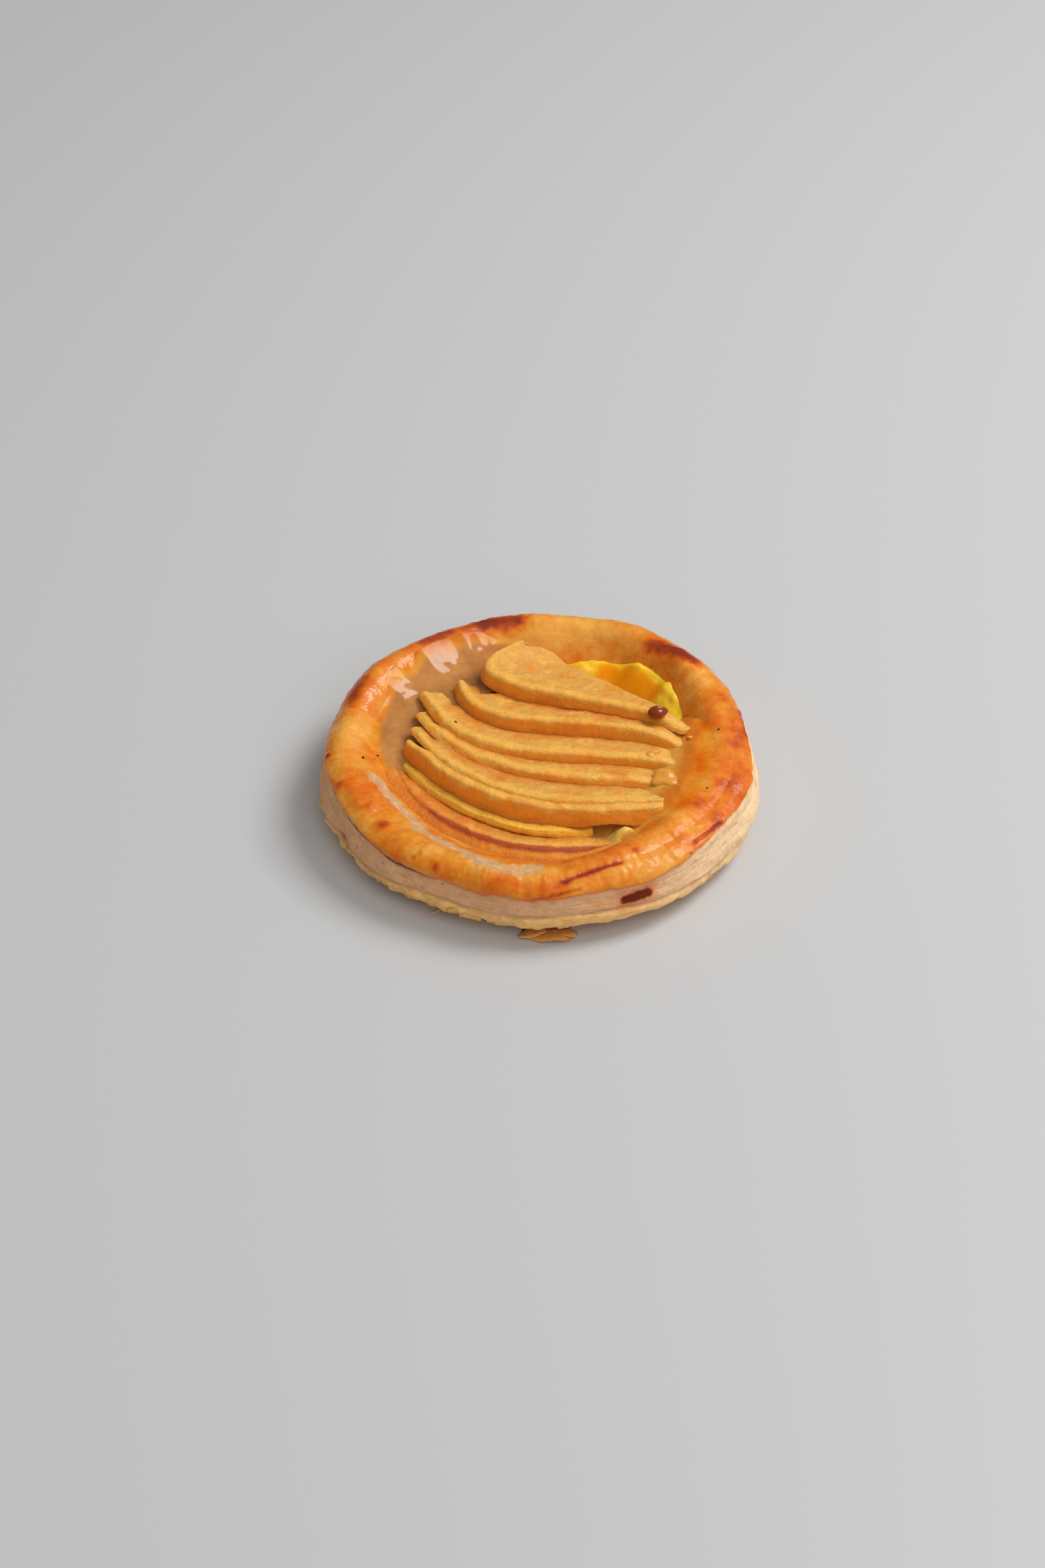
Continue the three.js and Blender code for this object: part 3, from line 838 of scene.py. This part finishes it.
def pastry_finish():
    finish = Finish(
        "baked_pastry", Subsurface_Weight=0.12, Subsurface_Scale=0.0012, Subsurface_Radius=(1, 0.4, 0.15),
        Coat_Roughness=0.05, Specular_IOR_Level=0.25,
    )
    finish.coloured(0.9, 0.92, 1.08)
    gloss = finish.painted("gloss")
    dry = finish.mottled(1.6, 0.72, 0.9)
    finish.feed("Roughness", finish.maths("SUBTRACT", dry, finish.maths("MULTIPLY", gloss, 0.45)))
    patches = finish.mottled(4, 0.35, 0.85, span=(0.35, 0.6))
    finish.feed("Coat Weight", finish.maths("MULTIPLY", gloss, patches))
    fibre = finish.bump(finish.noise(0.5, 4, (1, 1, 3.5), 0.6), 0.16, 0.55)
    finish.feed("Normal", finish.bump(finish.noise(1.4), 0.2, 0.4, fibre))
    finish.feed("Coat Normal", finish.bump(finish.noise(2), 0.42, 0.65))
    return finish.material


class TART_OT_pastry(bpy.types.Operator):
    """Spins the pastry and gives it its leaves, blisters, folds and browning"""

    bl_idname = "tart.pastry"
    bl_label = "Pastry"

    def execute(self, context):
        piece = rolled("pastry_baked", pastry_profile(), PASTRY_STEPS)
        shape_pastry(piece)
        placed(piece, pastry_finish(), "pastry", "pastry")
        return {"FINISHED"}


# Custard

# Heaps at the open part of the fan and one at the front right: place, size and height
HEAPS = [
    (12.5, 36.5, 4, 1.6), (25.6, 32.2, 4.5, 1.9), (33.6, 24, 4, 1.5), (19, 33, 3, -0.5),
    (20.8, -28.4, 3.4, 4.4),
]
# Path of the syrup that stands on it, seen from above, and half its width
SYRUP = [(17.5, 34, 0), (20.5, 32.2, 0), (24.5, 28.8, 0), (27.5, 26, 0)]
SYRUP_WIDTH = 3.9
# Lumps: how high, their size and their seed
LUMPS = [(1, 5, 31), (0.5, 1.9, 32), (0.2, 0.8, 33)]
CUSTARD_STEPS = 360


def custard_profile():
    edge = wall_radius(CUSTARD_EDGE) - 0.5
    floor = FLOOR_Z + GAP
    rows = [(radius, floor) for radius in (0, 12, 24, FLOOR_R - 1)]
    rows += [(float(wall_radius(z)), z) for z in np.linspace(floor, CUSTARD_EDGE - 0.5, 6)[1:]]
    rows += [(lerp(edge, CUSTARD_FLAT_R, t), lerp(CUSTARD_EDGE, CUSTARD_Z, t)) for t in np.linspace(0, 1, 26)]
    return rows + [(radius, CUSTARD_Z) for radius in (28, 24, 18, 10, 0)]


def shape_custard(piece):
    looks = settings("custard")
    flat = places(piece)
    angle, radius = turns(flat)
    upper = smooth(flat[:, 2], CUSTARD_Z - 1, CUSTARD_Z)
    lift = custard_lift(radius, angle) * smooth(flat[:, 2], CUSTARD_Z - 1.5, CUSTARD_Z)
    moved = radius + well_shift(radius, angle) + lift * CUSTARD_SPILL
    points = ringed(moved, angle, flat[:, 2] + lift)
    points[:, :2] += OFF_CENTRE
    set_places(piece, points)
    heap = sum(tall * hill(np.hypot(points[:, 0] - x, points[:, 1] - y), size) for x, y, size, tall in HEAPS)
    spilt = near(points * (1, 1, 0), SYRUP) * (1 + 0.25 * grain(points, 3, 34))
    syrup = smooth(1 - spilt / SYRUP_WIDTH, 0, 0.45)
    rise = looks.lumps / MM * layered(points, LUMPS) * (1 - 0.8 * syrup) * upper
    points[:, 2] += heap * upper
    set_places(piece, points + facing(piece) * rise[:, None])
    tint = np.outer(1 + 0.08 * grain(points, 3, 35), looks.yellow)
    tint = blend(tint, looks.pale, falling(points[:, 1], -20, 0))
    paint(piece, "tint", blend(tint, looks.syrup, syrup))
    paint(piece, "gloss", 0.55 + 0.45 * syrup)


def custard_finish():
    finish = Finish(
        "set_custard", Subsurface_Weight=0.25, Subsurface_Scale=0.002, Subsurface_Radius=(1, 0.5, 0.1),
        Coat_Roughness=0.04, Coat_IOR=1.4,
    )
    finish.coloured(1.2, 0.93, 1.07, 3)
    gloss = finish.painted("gloss")
    finish.feed("Roughness", finish.scaled(gloss, 0, 1, 0.5, 0.2))
    finish.feed("Coat Weight", gloss)
    finish.feed("Normal", finish.bump(finish.noise(0.8), 0.15, 0.4))
    return finish.material


class TART_OT_custard(bpy.types.Operator):
    """Spins the custard that fills the well and heaps it at the open part of the fan"""

    bl_idname = "tart.custard"
    bl_label = "Custard"

    def execute(self, context):
        piece = rolled("custard_set", custard_profile(), CUSTARD_STEPS)
        shape_custard(piece)
        placed(piece, custard_finish(), "custard", "custard")
        return {"FINISHED"}


# Slices

# Stains on the slices: place and size
STAINS = [
    (7.1, -22.5, 15, 2.6), (8.9, 6.3, 17.5, 1.7), (19, -12, 17, 1.8),
    (-9, -13, 16.5, 2), (2, 15, 18, 2), (18, 8, 18, 2.2),
]
# Noise on the slices: how much, the size of its lumps and its seed
CREST_WANDER = [(1, 9, 41), (0.5, 3, 42)]
SLICE_RELIEF = [(0.2, 5, 43), (0.1, 1.8, 44), (0.05, 0.8, 45)]
STREAKS = [(1, 0.9, 49), (0.6, 2.3, 50)]
MOTTLE = [(1, 4.5, 46), (0.7, 1.7, 47)]
# How far apart the noise of two slices lies
CRESTS_APART, FACES_APART, STREAKS_APART = 50, 23, 17
SLICE_CELLS = (170, 40, 14)
LAST_CELLS = (170, 60, 14)


def core_edge(number, share):
    this, crest = SLICES[number], CRESTS[number]
    tips = [crest.inside(tip, width / this.reach) for tip, width in enumerate(this.ends)]
    line = lerp(*tips, (share**CORE_LAG)[:, None])
    return lerp(crest.at(share), line, this.reach)


def shape_slice(piece, number, u, v, w):
    looks = settings("apple")
    this, line, last = SLICES[number], CRESTS[number], number == LAST
    bend = (1 - np.sqrt(np.clip(1 - (2 * v - 1) ** 2, 0, 1))) / line.length
    cut = END_CUT / line.length if THIN < number < LAST else 0
    u = lerp(TIP_ROUND[0] * bend, 1 - cut - TIP_ROUND[1] * bend, u)
    crest = line.at(u)
    back = core_edge(number, u) - crest
    depth = np.maximum(np.linalg.norm(back, axis=1), 0.2)
    back /= depth[:, None]
    if last:
        depth += KNOB * smooth(u, 0, 0.06) * falling(u, 0.12, 0.3)
    inward = depth * (v if last else 0.35 * v + 0.65 * v * v)
    flat = np.column_stack((crest, np.full(len(u), CRESTS_APART * number)))
    wander = looks.unevenness / MM * layered(flat, CREST_WANDER)
    upper = crest + back * (inward + wander * hill(inward, 3))[:, None]
    lower = crest + back * (inward - this.lean)[:, None]
    face = this.high - LAST_FALL * inward if last else top_face(number, upper)
    under = underside(number, lower, face) - 0.25 - UNDER_DROP[number] * smooth(u, 0.8, 0.96)

    # The crest is rounded, and both ends fall away
    soft = looks.rounding / MM
    ahead = 0.96 * (1 - np.clip(inward / soft, 0, 1))
    ends = 0.6 * falling(u, 0, 0.06) + END_DROP[number] * smooth(u, 0.84, 1)
    ends += 4 * falling(u, 0, 0.16) * smooth(inward, 0.5, 6)
    rounded = min(0.55 * soft, 0.5 * this.thick) * (1 - np.sqrt(1 - ahead**2))
    worn = rounded + (LAST_WEAR if last else 1) * ends
    worn = np.minimum(worn, 0.7 * np.maximum(face - under, 0.1))
    top = face - worn + 0.5 * wander * hill(inward, 4)
    points = np.column_stack((lerp(upper, lower, w[:, None]) + OFF_CENTRE, lerp(top, under, w)))
    set_places(piece, points)
    seeded = points + (0, 0, FACES_APART * number)
    drawn = np.column_stack((u * line.length, 0.2 * this.thick * w, 0.6 * inward + STREAKS_APART * number))
    streak = layered(drawn, STREAKS)
    relief = layered(seeded, SLICE_RELIEF) + 0.05 * streak
    set_places(piece, points + facing(piece) * relief[:, None])
    paint_slice(piece, number, points, seeded, streak, u, inward, w)


def paint_slice(piece, number, points, seeded, streak, u, inward, w):
    looks = settings("apple")
    mottle = layered(seeded, MOTTLE)
    right = smooth(u, 0.76, 0.94)
    shade = lerp(0.76, 1, smooth(u, 0.5, 0.85)) if number == 0 else 1
    tint = np.outer(shade * (1 + 0.05 * grain(seeded, 0.8, 51)), looks.strip)
    tint = blend(tint, looks.crest, 0.6 * smooth(-mottle, 0.1, 0.9))
    tint = blend(tint, looks.band, 0.85 * smooth(mottle + 0.2 * streak, -0.1, 1))
    if number < LAST:
        # Painted shade on the face where the next slice sits on it
        clear = -CRESTS[number + 1].behind(points[:, :2] - OFF_CENTRE) - SLICES[number + 1].lean
        close = hill(np.maximum(clear, 0), 1.8 + 1.2 * mottle) * falling(w, 0, 0.3)
        tint = blend(tint, looks.foot, 0.75 * close * (1 - right))
    # Lighter crest colour along the rounded top of each slice: partly its yellow tone, partly a painted
    # highlight where the crest catches the light
    tint = blend(tint, looks.crest, 0.75 * hill(inward - 1.6 - 0.6 * grain(seeded, 6, 48), 1.3) * (1 - w))
    front = 0.75 * w * hill(inward, 2) + 0.2 * hill(inward, 1.2) + 0.16 * mottle + 0.07 * streak
    if number == THIN:
        tint = blend(tint, np.array(looks.crest) * (1.04, 1, 0.7), hill(inward, 2))
        front -= 0.45
    # Fronts take their own band colour and darken to the foot colour towards the bottom: partly browning,
    # partly painted shade
    tint = blend(tint, looks.band, smooth(front, 0.14, 0.42))
    tint = blend(tint, looks.foot, (0.85 - 0.5 * right) * smooth(front, 0.5, 0.95))
    if number == 0:
        tint = blend(tint, looks.rust, falling(u, 0.3, 0.75) * (0.8 + 0.3 * mottle))
        along = smooth(u, 0.18, 0.4) * falling(u, 0.88, 1)
        ridge = hill(inward - 0.3, 0.9) * hill(w, 0.22) * along
        tint = blend(tint, looks.caramel, ridge * (1.4 + 0.5 * mottle))
    ragged = 1 + 0.4 * grain(seeded, 1.6, 52)
    for *place, size in STAINS:
        away = np.linalg.norm((points - place) * (0.7, 1, 1), axis=1)
        tint = blend(tint, looks.rust, hill(away * ragged, size))
    # Painted shade: dark caramel colour in the seam along the bottom of the last slice's front
    if number == LAST:
        gap = smooth(w, 0.78, 0.9) * smooth(u, 0.5, 0.6) * falling(u, 0.93, 0.98)
        tint = blend(tint, looks.caramel, 0.9 * gap)
    paint(piece, "tint", tint * (1 + 0.06 * streak)[:, None])
    paint(piece, "gloss", 0.3 + 0.3 * mottle + 0.4 * smooth(u, 0.82, 1))


def apple_finish():
    finish = Finish(
        "baked_apple", Subsurface_Weight=0.45, Subsurface_Scale=0.0017, Subsurface_Radius=(1, 0.9, 0.7),
        Coat_Roughness=0.14, Coat_IOR=1.4, Specular_IOR_Level=0.25,
    )
    finish.coloured(0.7, 0.94, 1.06)
    finish.feed("Roughness", finish.mottled(0.6, 0.35, 0.6))
    finish.feed("Coat Weight", finish.painted("gloss"))
    fibre = finish.bump(finish.noise(0.6, 4, (1, 1, 1.5), 0.65), 0.4, 0.7)
    uneven = finish.bump(finish.noise(1.5), 0.4, 0.5, fibre)
    finish.feed("Normal", uneven)
    finish.feed("Coat Normal", uneven)
    return finish.material


class TART_OT_slices(bpy.types.Operator):
    """Cuts the fan of apple slices and lays them over each other from front to back"""

    bl_idname = "tart.slices"
    bl_label = "Slices"

    def execute(self, context):
        finish = apple_finish()
        for number in range(len(SLICES)):
            cells = LAST_CELLS if number == LAST else SLICE_CELLS
            piece, *shares = slab(f"slice_{number + 1}_baked", *cells)
            shape_slice(piece, number, *shares)
            placed(piece, finish, "apple_flesh", f"apple_slice_{number + 1}")
        return {"FINISHED"}


# Pip


class TART_OT_pip(bpy.types.Operator):
    """Lays the pip on the crest of the last slice"""

    bl_idname = "tart.pip"
    bl_label = "Pip"

    def execute(self, context):
        piece = sphere("pip_glossy", 48, 28)
        ball = places(piece) * MM
        slim = 1 - 0.32 * smooth(ball[:, 0], -0.2, 1)
        ridge = 0.1 * hill(ball[:, 1] - 0.25, 0.16) - 0.12 * hill(ball[:, 1] - 0.02, 0.1)
        tall = slim * (1 + ridge * smooth(ball[:, 2], 0, 0.4))
        shaped = ball * np.array(PIP_SIZE) * np.column_stack((np.ones(len(ball)), slim, tall))
        crest = CRESTS[LAST]
        ahead = crest.heading(PIP_ALONG)
        plan = turned(shaped[:, :2], math.atan2(ahead[1], ahead[0]) + math.radians(PIP_TURN))
        plan += crest.inside(PIP_ALONG, PIP_BEHIND) + OFF_CENTRE
        rise = SLICES[LAST].high + PIP_SIZE[2] - PIP_SUNK
        set_places(piece, np.column_stack((plan, shaped[:, 2] + rise)))
        finish = Finish(
            "pip_skin", Base_Color=(*settings("apple").pip, 1),
            Coat_Weight=0.6, Coat_Roughness=0.04, Specular_IOR_Level=0.2,
        )
        finish.feed("Roughness", finish.mottled(0.6, 0.25, 0.5))
        finish.feed("Normal", finish.bump(finish.noise(0.5), 0.08, 0.5))
        placed(piece, finish.material, "pip", "pip")
        return {"FINISHED"}


# Glaze

# Level of the pool of glaze by bearing: at the inner edge of the sheet, half way and at the outer edge
SHEET_R = (26, 46)
POOL = [
    (-75, 8, 8, 8), (-62, 10, 10.6, 11), (-50, 12, 13.2, 13.4), (-43, 13.4, 16, 15.4),
    (-34, 14.4, 17.3, 16.2), (-20, 15, 17.7, 16.8), (0, 15.2, 17.9, 17.3), (8, 15, 17.6, 17.3),
    (15, 13.8, 16.2, 16.8), (22, 11.6, 13.4, 14.2), (30, 8.6, 9.8, 11), (38, 6, 6.5, 7), (78, 6, 6.5, 7),
    (88, 13, 14, 16.4), (100, 15, 16.4, 18.6), (116, 16.2, 16.8, 20.8), (132, 16.6, 16.8, 21),
    (138, 16.6, 16.6, 19), (143, 16.2, 16.4, 20.4), (151, 15.6, 16.2, 20), (157, 15, 16, 17.2),
    (170, 13.4, 15.8, 14.6), (182, 12, 14.5, 13.4), (192, 10, 12, 12.8), (200, 8, 8.5, 9),
]
# Wet spots: place, half lengths, turn and how far they tip
DROPS = [
    (31, -13.6, 17.1, 3.6, 2.9, 1.2, 20, 9), (28, -4.8, 18, 1.7, 1.1, 0.55, 40, 9),
    (19.7, 6.4, 19, 3.2, 0.8, 0.4, -12, 6), (38.9, 18.2, 16.2, 0.6, 0.6, 0.5, 0, 0),
    (37.2, 1.1, 18.3, 0.6, 0.5, 0.5, 0, 0), (36.4, 4.6, 18.2, 0.5, 0.4, 0.4, 0, 0),
]
DROP_GLOSS = 0.35
# Noise in the glaze: how much, the size of its lumps and its seed
RIPPLES = [(1, 8, 61), (0.2, 2.4, 62)]
CLOUDS = [(0.18, 5, 65), (0.14, 1.6, 66)]
SHEET_CELLS = (440, 70, 1)
# Bearing and spread of the open part of the fan, where the sheet lies under the skin
OPEN_PART = (56, 40)
BURIED = -0.9
SKIN_SHADE = (0.97, 0.93, 0.85)


def shape_sheet(piece, u, v, w):
    looks = settings("glaze")
    bearings, *levels = zip(*POOL)
    bearing = lerp(bearings[0], bearings[-1], u)
    radius = lerp(*SHEET_R, v)
    flat = ringed(radius, np.radians(bearing), np.zeros(len(u)))
    plan = flat[:, :2] + OFF_CENTRE
    inner, middle, outer = (np.interp(bearing, bearings, level) for level in levels)
    pool = inner * (1 - v) * (1 - 2 * v) + middle * 4 * v * (1 - v) + outer * v * (2 * v - 1)
    pool += looks.ripple / MM * layered(flat, RIPPLES)
    slope = dough_top(flat)
    bare = np.maximum(around(np.radians(bearing), *OPEN_PART), falling(np.minimum(u, 1 - u), 0.04, 0.1))
    bare = np.maximum(bare, falling(1 - v, 0.02, 0.2))
    film = slope + lerp(looks.film_depth / MM, BURIED, bare)
    top = 0.5 * (pool + film + np.sqrt((pool - film) ** 2 + MENISCUS**2)) - 0.35 * MENISCUS
    set_places(piece, np.column_stack((plan, top - SHEET_DEPTH * w)))
    skin = skin_colour(np.column_stack((plan, slope))) * SKIN_SHADE
    deep = smooth(top - slope + 0.4 * grain(flat, 4, 63), 0.3, 2.4)
    gel = blend(looks.gel, looks.amber, falling(bearing, 80, 120))
    thin = np.maximum(falling(radius, 33, 36.5), falling(bearing, -46, -36))
    gel = blend(gel, looks.film, thin * falling(bearing, 30, 80))
    # Painted shade on the gel close to the slices at the back and the left
    shade = 0.2 * falling(radius, 31, 37) * smooth(bearing, 80, 100)
    gel = gel * (1 + layered(flat, CLOUDS) - shade)[:, None]
    paint(piece, "tint", blend(skin, gel, deep))
    paint(piece, "gloss", 0.15 + 0.3 * deep)


def glaze_finish():
    finish = Finish(
        "set_glaze", Subsurface_Weight=0.4, Subsurface_Scale=0.003, Subsurface_Radius=(1, 0.5, 0.2),
        Roughness=0.2, Coat_Roughness=0.03, Specular_IOR_Level=0.08,
    )
    finish.feed("Base Color", finish.painted("tint", "Color"))
    finish.feed("Coat Weight", finish.painted("gloss"))
    return finish.material


class TART_OT_glaze(bpy.types.Operator):
    """Pours the sheet of glaze between the slices and the rim, and sets wet spots"""

    bl_idname = "tart.glaze"
    bl_label = "Glaze"

    def execute(self, context):
        finish = glaze_finish()
        piece, *shares = slab("glaze_sheet", *SHEET_CELLS)
        shape_sheet(piece, *shares)
        placed(piece, finish, "pastry")
        spots = joined([self.spot(*drop) for drop in DROPS], "glaze_spots")
        count = len(spots.data.vertices)
        paint(spots, "tint", np.tile(settings("glaze").film, (count, 1)))
        paint(spots, "gloss", np.full(count, DROP_GLOSS))
        placed(spots, finish, "pastry")
        return {"FINISHED"}

    def spot(self, x, y, z, along, across, tall, turn, tip):
        piece = sphere("spot", 24, 14)
        ball = places(piece) * MM
        wavy = 1 + 0.4 * grain(ball * (1, 1, 0.2) + (x, y, z), 0.8, 64)
        shaped = ball * (along, across, tall) * wavy[:, None]
        plan = turned(shaped[:, :2], math.radians(turn))
        lean = math.tan(math.radians(tip)) * (plan[:, 1] - plan[:, 0]) * math.sqrt(0.5)
        set_places(piece, np.column_stack((plan + (x, y), shaped[:, 2] + z + lean)))
        return piece


# Flakes

# Single flakes: place, length, width, turn about the vertical, tilt out of the flat, and how toasted
LOOSE_FLAKES = [
    (1.6, -51.4, 0.5, 12, 6, -6, 4, 0.9), (-1.6, -51.2, 0.8, 7, 4, 20, 8, 0.7),
    (6, -50.8, 0.6, 6, 3.4, -24, 6, 0.8), (-24, -43.6, 0.9, 4.4, 0.5, 32, 18, 0.1),
    (-22.6, -43.3, 1.4, 2.6, 0.45, 75, 40, 0.1),
]
# Flakes that are drawn: how many, their bearing and its spread, and spans of what is drawn for each
FLAKE_COUNT, FLAKE_SEED = 60, 5
FLAKES_AT = (-140, 34)
FLAKE_OUT = (-0.2, 0.45)
FLAKE_LENGTH = (2.2, 5.5)
FLAKE_WIDTH = (1.2, 2.4)
FLAKE_TILT = (70, 100)
FLAKE_LOWEST = 0.02


def flake_places():
    """Flakes that stand off the lowest layer, most of them at the front left."""
    draw = np.random.default_rng(FLAKE_SEED)
    rows = list(LOOSE_FLAKES)
    for number in range(FLAKE_COUNT):
        bearing = draw.normal(*FLAKES_AT) if number % 3 else draw.uniform(-180, 180)
        height = 1 + 4.5 * draw.random()
        share = (height - FOOT_Z) / (SKIRT_Z - FOOT_Z)
        angle = math.radians(bearing)
        radius = lerp(FOOT_R, SKIRT_R, share) + bulge(max(share, 0)) + waves(OUTLINE_WAVES, angle)
        spot = polar(bearing, radius + draw.uniform(*FLAKE_OUT)) + OFF_CENTRE
        size = draw.uniform(*FLAKE_LENGTH), draw.uniform(*FLAKE_WIDTH)
        turn, tilt = bearing + 90 + draw.normal(0, 10), draw.uniform(*FLAKE_TILT)
        rows.append((*spot, height + foot_lift(angle, height), *size, turn, tilt, 0.5 * draw.random()))
    return rows


def flake_mesh():
    """A thin leaf with a ragged outline, a millimetre long and wide."""
    piece = grid("flake", 7, 4)
    flat = places(piece) * MM
    flat[:, 1] *= np.sqrt(np.clip(1 - (1.7 * flat[:, 0]) ** 2, 0.05, 1)) * (1 + 0.35 * grain(flat, 0.3, 81))
    flat[:, 2] = 0.2 * grain(flat, 0.5, 82) - 0.25 * flat[:, 0] ** 2
    set_places(piece, flat)
    return piece


class TART_OT_flakes(bpy.types.Operator):
    """Sets the flakes that stand off the lowest layer and lie under the front edge"""

    bl_idname = "tart.flakes"
    bl_label = "Flakes"

    def execute(self, context):
        looks = settings("pastry")
        first = flake_mesh()
        leaf = places(first)
        copies = [first]
        rows = flake_places()
        for _ in rows[1:]:
            choose(first)
            bpy.ops.object.duplicate()
            copies.append(context.object)
        for piece, (x, y, z, along, across, turn, tilt, toasted) in zip(copies, rows):
            self.lay(piece, leaf, (x, y, z), (along, across), math.radians(turn), math.radians(tilt))
            tone = lerp(np.array(looks.lower), np.array(looks.toasted), toasted)
            paint(piece, "tint", np.outer(1 + 0.12 * grain(leaf, 0.4, 83), tone))
            paint(piece, "gloss", np.zeros(len(leaf)))
        joined(copies, "pastry_flakes")
        bpy.ops.object.modifier_add(type="SOLIDIFY")
        first.modifiers["Solidify"].thickness = looks.flake
        first.modifiers["Solidify"].offset = 0
        bpy.ops.object.modifier_apply(modifier="Solidify")
        points = places(first)
        points[:, 2] = np.maximum(points[:, 2], FLAKE_LOWEST)
        set_places(first, points)
        placed(first, pastry_finish(), "pastry")
        return {"FINISHED"}

    def lay(self, piece, leaf, spot, size, turn, tilt):
        along, across = (leaf[:, :2] * size).T
        out, up = turned(np.column_stack((across, leaf[:, 2] * size[0] * 0.5)), tilt).T
        plan = turned(np.column_stack((along, -out)), turn)
        set_places(piece, np.column_stack((plan, up)) + spot)


# Specks

# Dark specks: place and radius
SPECKS = [
    (1, 46.3, 20.5, 0.42), (-20.7, 7.5, 18, 0.6), (-46.6, 2.3, 19, 0.34), (-43, -5.4, 17.2, 0.36),
    (35.5, -39.1, 15, 0.7), (-39.6, -3.2, 16, 0.3), (44.5, 3.2, 19.3, 0.28), (40.6, -19, 18.6, 0.3),
    (24.5, -3.6, 16.2, 0.3),
]
SPECK_SHAPE = (1, 0.75, 0.7)


class TART_OT_specks(bpy.types.Operator):
    """Scatters the dark specks"""

    bl_idname = "tart.specks"
    bl_label = "Specks"

    def execute(self, context):
        specks = []
        for number, (*place, radius) in enumerate(SPECKS):
            piece = started(bpy.ops.mesh.primitive_ico_sphere_add, "speck", subdivisions=2, radius=1)
            ball = places(piece) * MM
            lumpy = radius * (1 + 0.3 * grain(ball + number, 0.8, 71))
            set_places(piece, ball * SPECK_SHAPE * lumpy[:, None] + place)
            specks.append(piece)
        finish = Finish("dark_speck", Base_Color=(*settings("pastry").speck, 1), Roughness=0.5)
        placed(joined(specks, "specks"), finish.material, "pastry")
        return {"FINISHED"}


# Stage

# Places, sizes and the aim in metres, the camera's tilt in degrees, and its lens and sensor in millimetres
FLOOR_SIZE = 6
KEY_AT, KEY_SIZE = (0.72, 0.3, 1.0), 0.6
FILL_AT, FILL_SIZE = (0.8, -1.8, 1.9), 2.4
LIGHT_AIM = (0, 0, 0.01)
CAMERA_AT, CAMERA_TILT = (-0.00397, -0.59004, 0.48225), 51
LENS, SENSOR = 70, 36


class TART_OT_stage(bpy.types.Operator):
    """Adds the floor, the lights and the camera"""

    bl_idname = "tart.stage"
    bl_label = "Stage"

    def execute(self, context):
        looks = settings("stage")
        floor = started(bpy.ops.mesh.primitive_plane_add, "floor", size=FLOOR_SIZE, location=(0, 0, 0))
        finish = Finish("pale_floor", Base_Color=(*looks.floor, 1), Roughness=0.45)
        floor.data.materials.append(finish.material)
        self.softbox("key", KEY_AT, KEY_SIZE, looks.key)
        fill = self.softbox("fill", FILL_AT, FILL_SIZE, looks.fill)
        fill.visible_glossy = False
        world = bpy.data.worlds.new("room")
        world.use_nodes = True
        background = world.node_tree.nodes["Background"]
        background.inputs["Color"].default_value = (1, 1, 1, 1)
        background.inputs["Strength"].default_value = looks.room
        world.cycles_visibility.glossy = False
        context.scene.world = world
        bpy.ops.object.camera_add(location=CAMERA_AT, rotation=(math.radians(CAMERA_TILT), 0, 0))
        camera = context.object
        camera.data.lens = LENS
        camera.data.sensor_fit = "VERTICAL"
        camera.data.sensor_height = SENSOR
        context.scene.camera = camera
        context.scene.view_settings.view_transform = "Standard"
        return {"FINISHED"}

    def softbox(self, name, place, size, power):
        bpy.ops.object.light_add(type="AREA", location=place)
        light = bpy.context.object
        light.name = light.data.name = name
        light.data.size = size
        light.data.energy = power
        x, y, z = np.array(LIGHT_AIM) - place
        light.rotation_euler = (math.atan2(math.hypot(x, y), -z), 0, math.atan2(x, -y) + math.pi)
        return light


class TART_PT_panel(bpy.types.Panel):
    """The tart's pieces and their settings"""

    bl_idname = "TART_PT_panel"
    bl_label = "Tart"
    bl_space_type = "VIEW_3D"
    bl_region_type = "UI"
    bl_category = "Tart"

    def draw(self, context):
        for name, (group, operators) in GROUPS.items():
            box = self.layout.box()
            for field in group.__annotations__:
                box.prop(settings(name), field)
            for operator in operators:
                box.operator(operator.bl_idname)


GROUPS = {
    "pastry": (TartPastrySettings, [TART_OT_pastry, TART_OT_flakes]),
    "custard": (TartCustardSettings, [TART_OT_custard]),
    "apple": (TartAppleSettings, [TART_OT_slices, TART_OT_pip]),
    "glaze": (TartGlazeSettings, [TART_OT_glaze, TART_OT_specks]),
    "stage": (TartStageSettings, [TART_OT_stage]),
}
CLASSES = [item for group, operators in GROUPS.values() for item in (group, *operators)] + [TART_PT_panel]


def register():
    for item in CLASSES:
        bpy.utils.register_class(item)
    for name, (group, _) in GROUPS.items():
        setattr(bpy.types.Scene, "tart_" + name, bpy.props.PointerProperty(type=group))


def unregister():
    for name in GROUPS:
        delattr(bpy.types.Scene, "tart_" + name)
    for item in reversed(CLASSES):
        bpy.utils.unregister_class(item)


def main():
    register()
    bpy.ops.tart.pastry()
    bpy.ops.tart.custard()
    bpy.ops.tart.slices()
    bpy.ops.tart.pip()
    bpy.ops.tart.glaze()
    bpy.ops.tart.specks()
    bpy.ops.tart.flakes()
    bpy.ops.tart.stage()


if __name__ == "__main__":
    main()
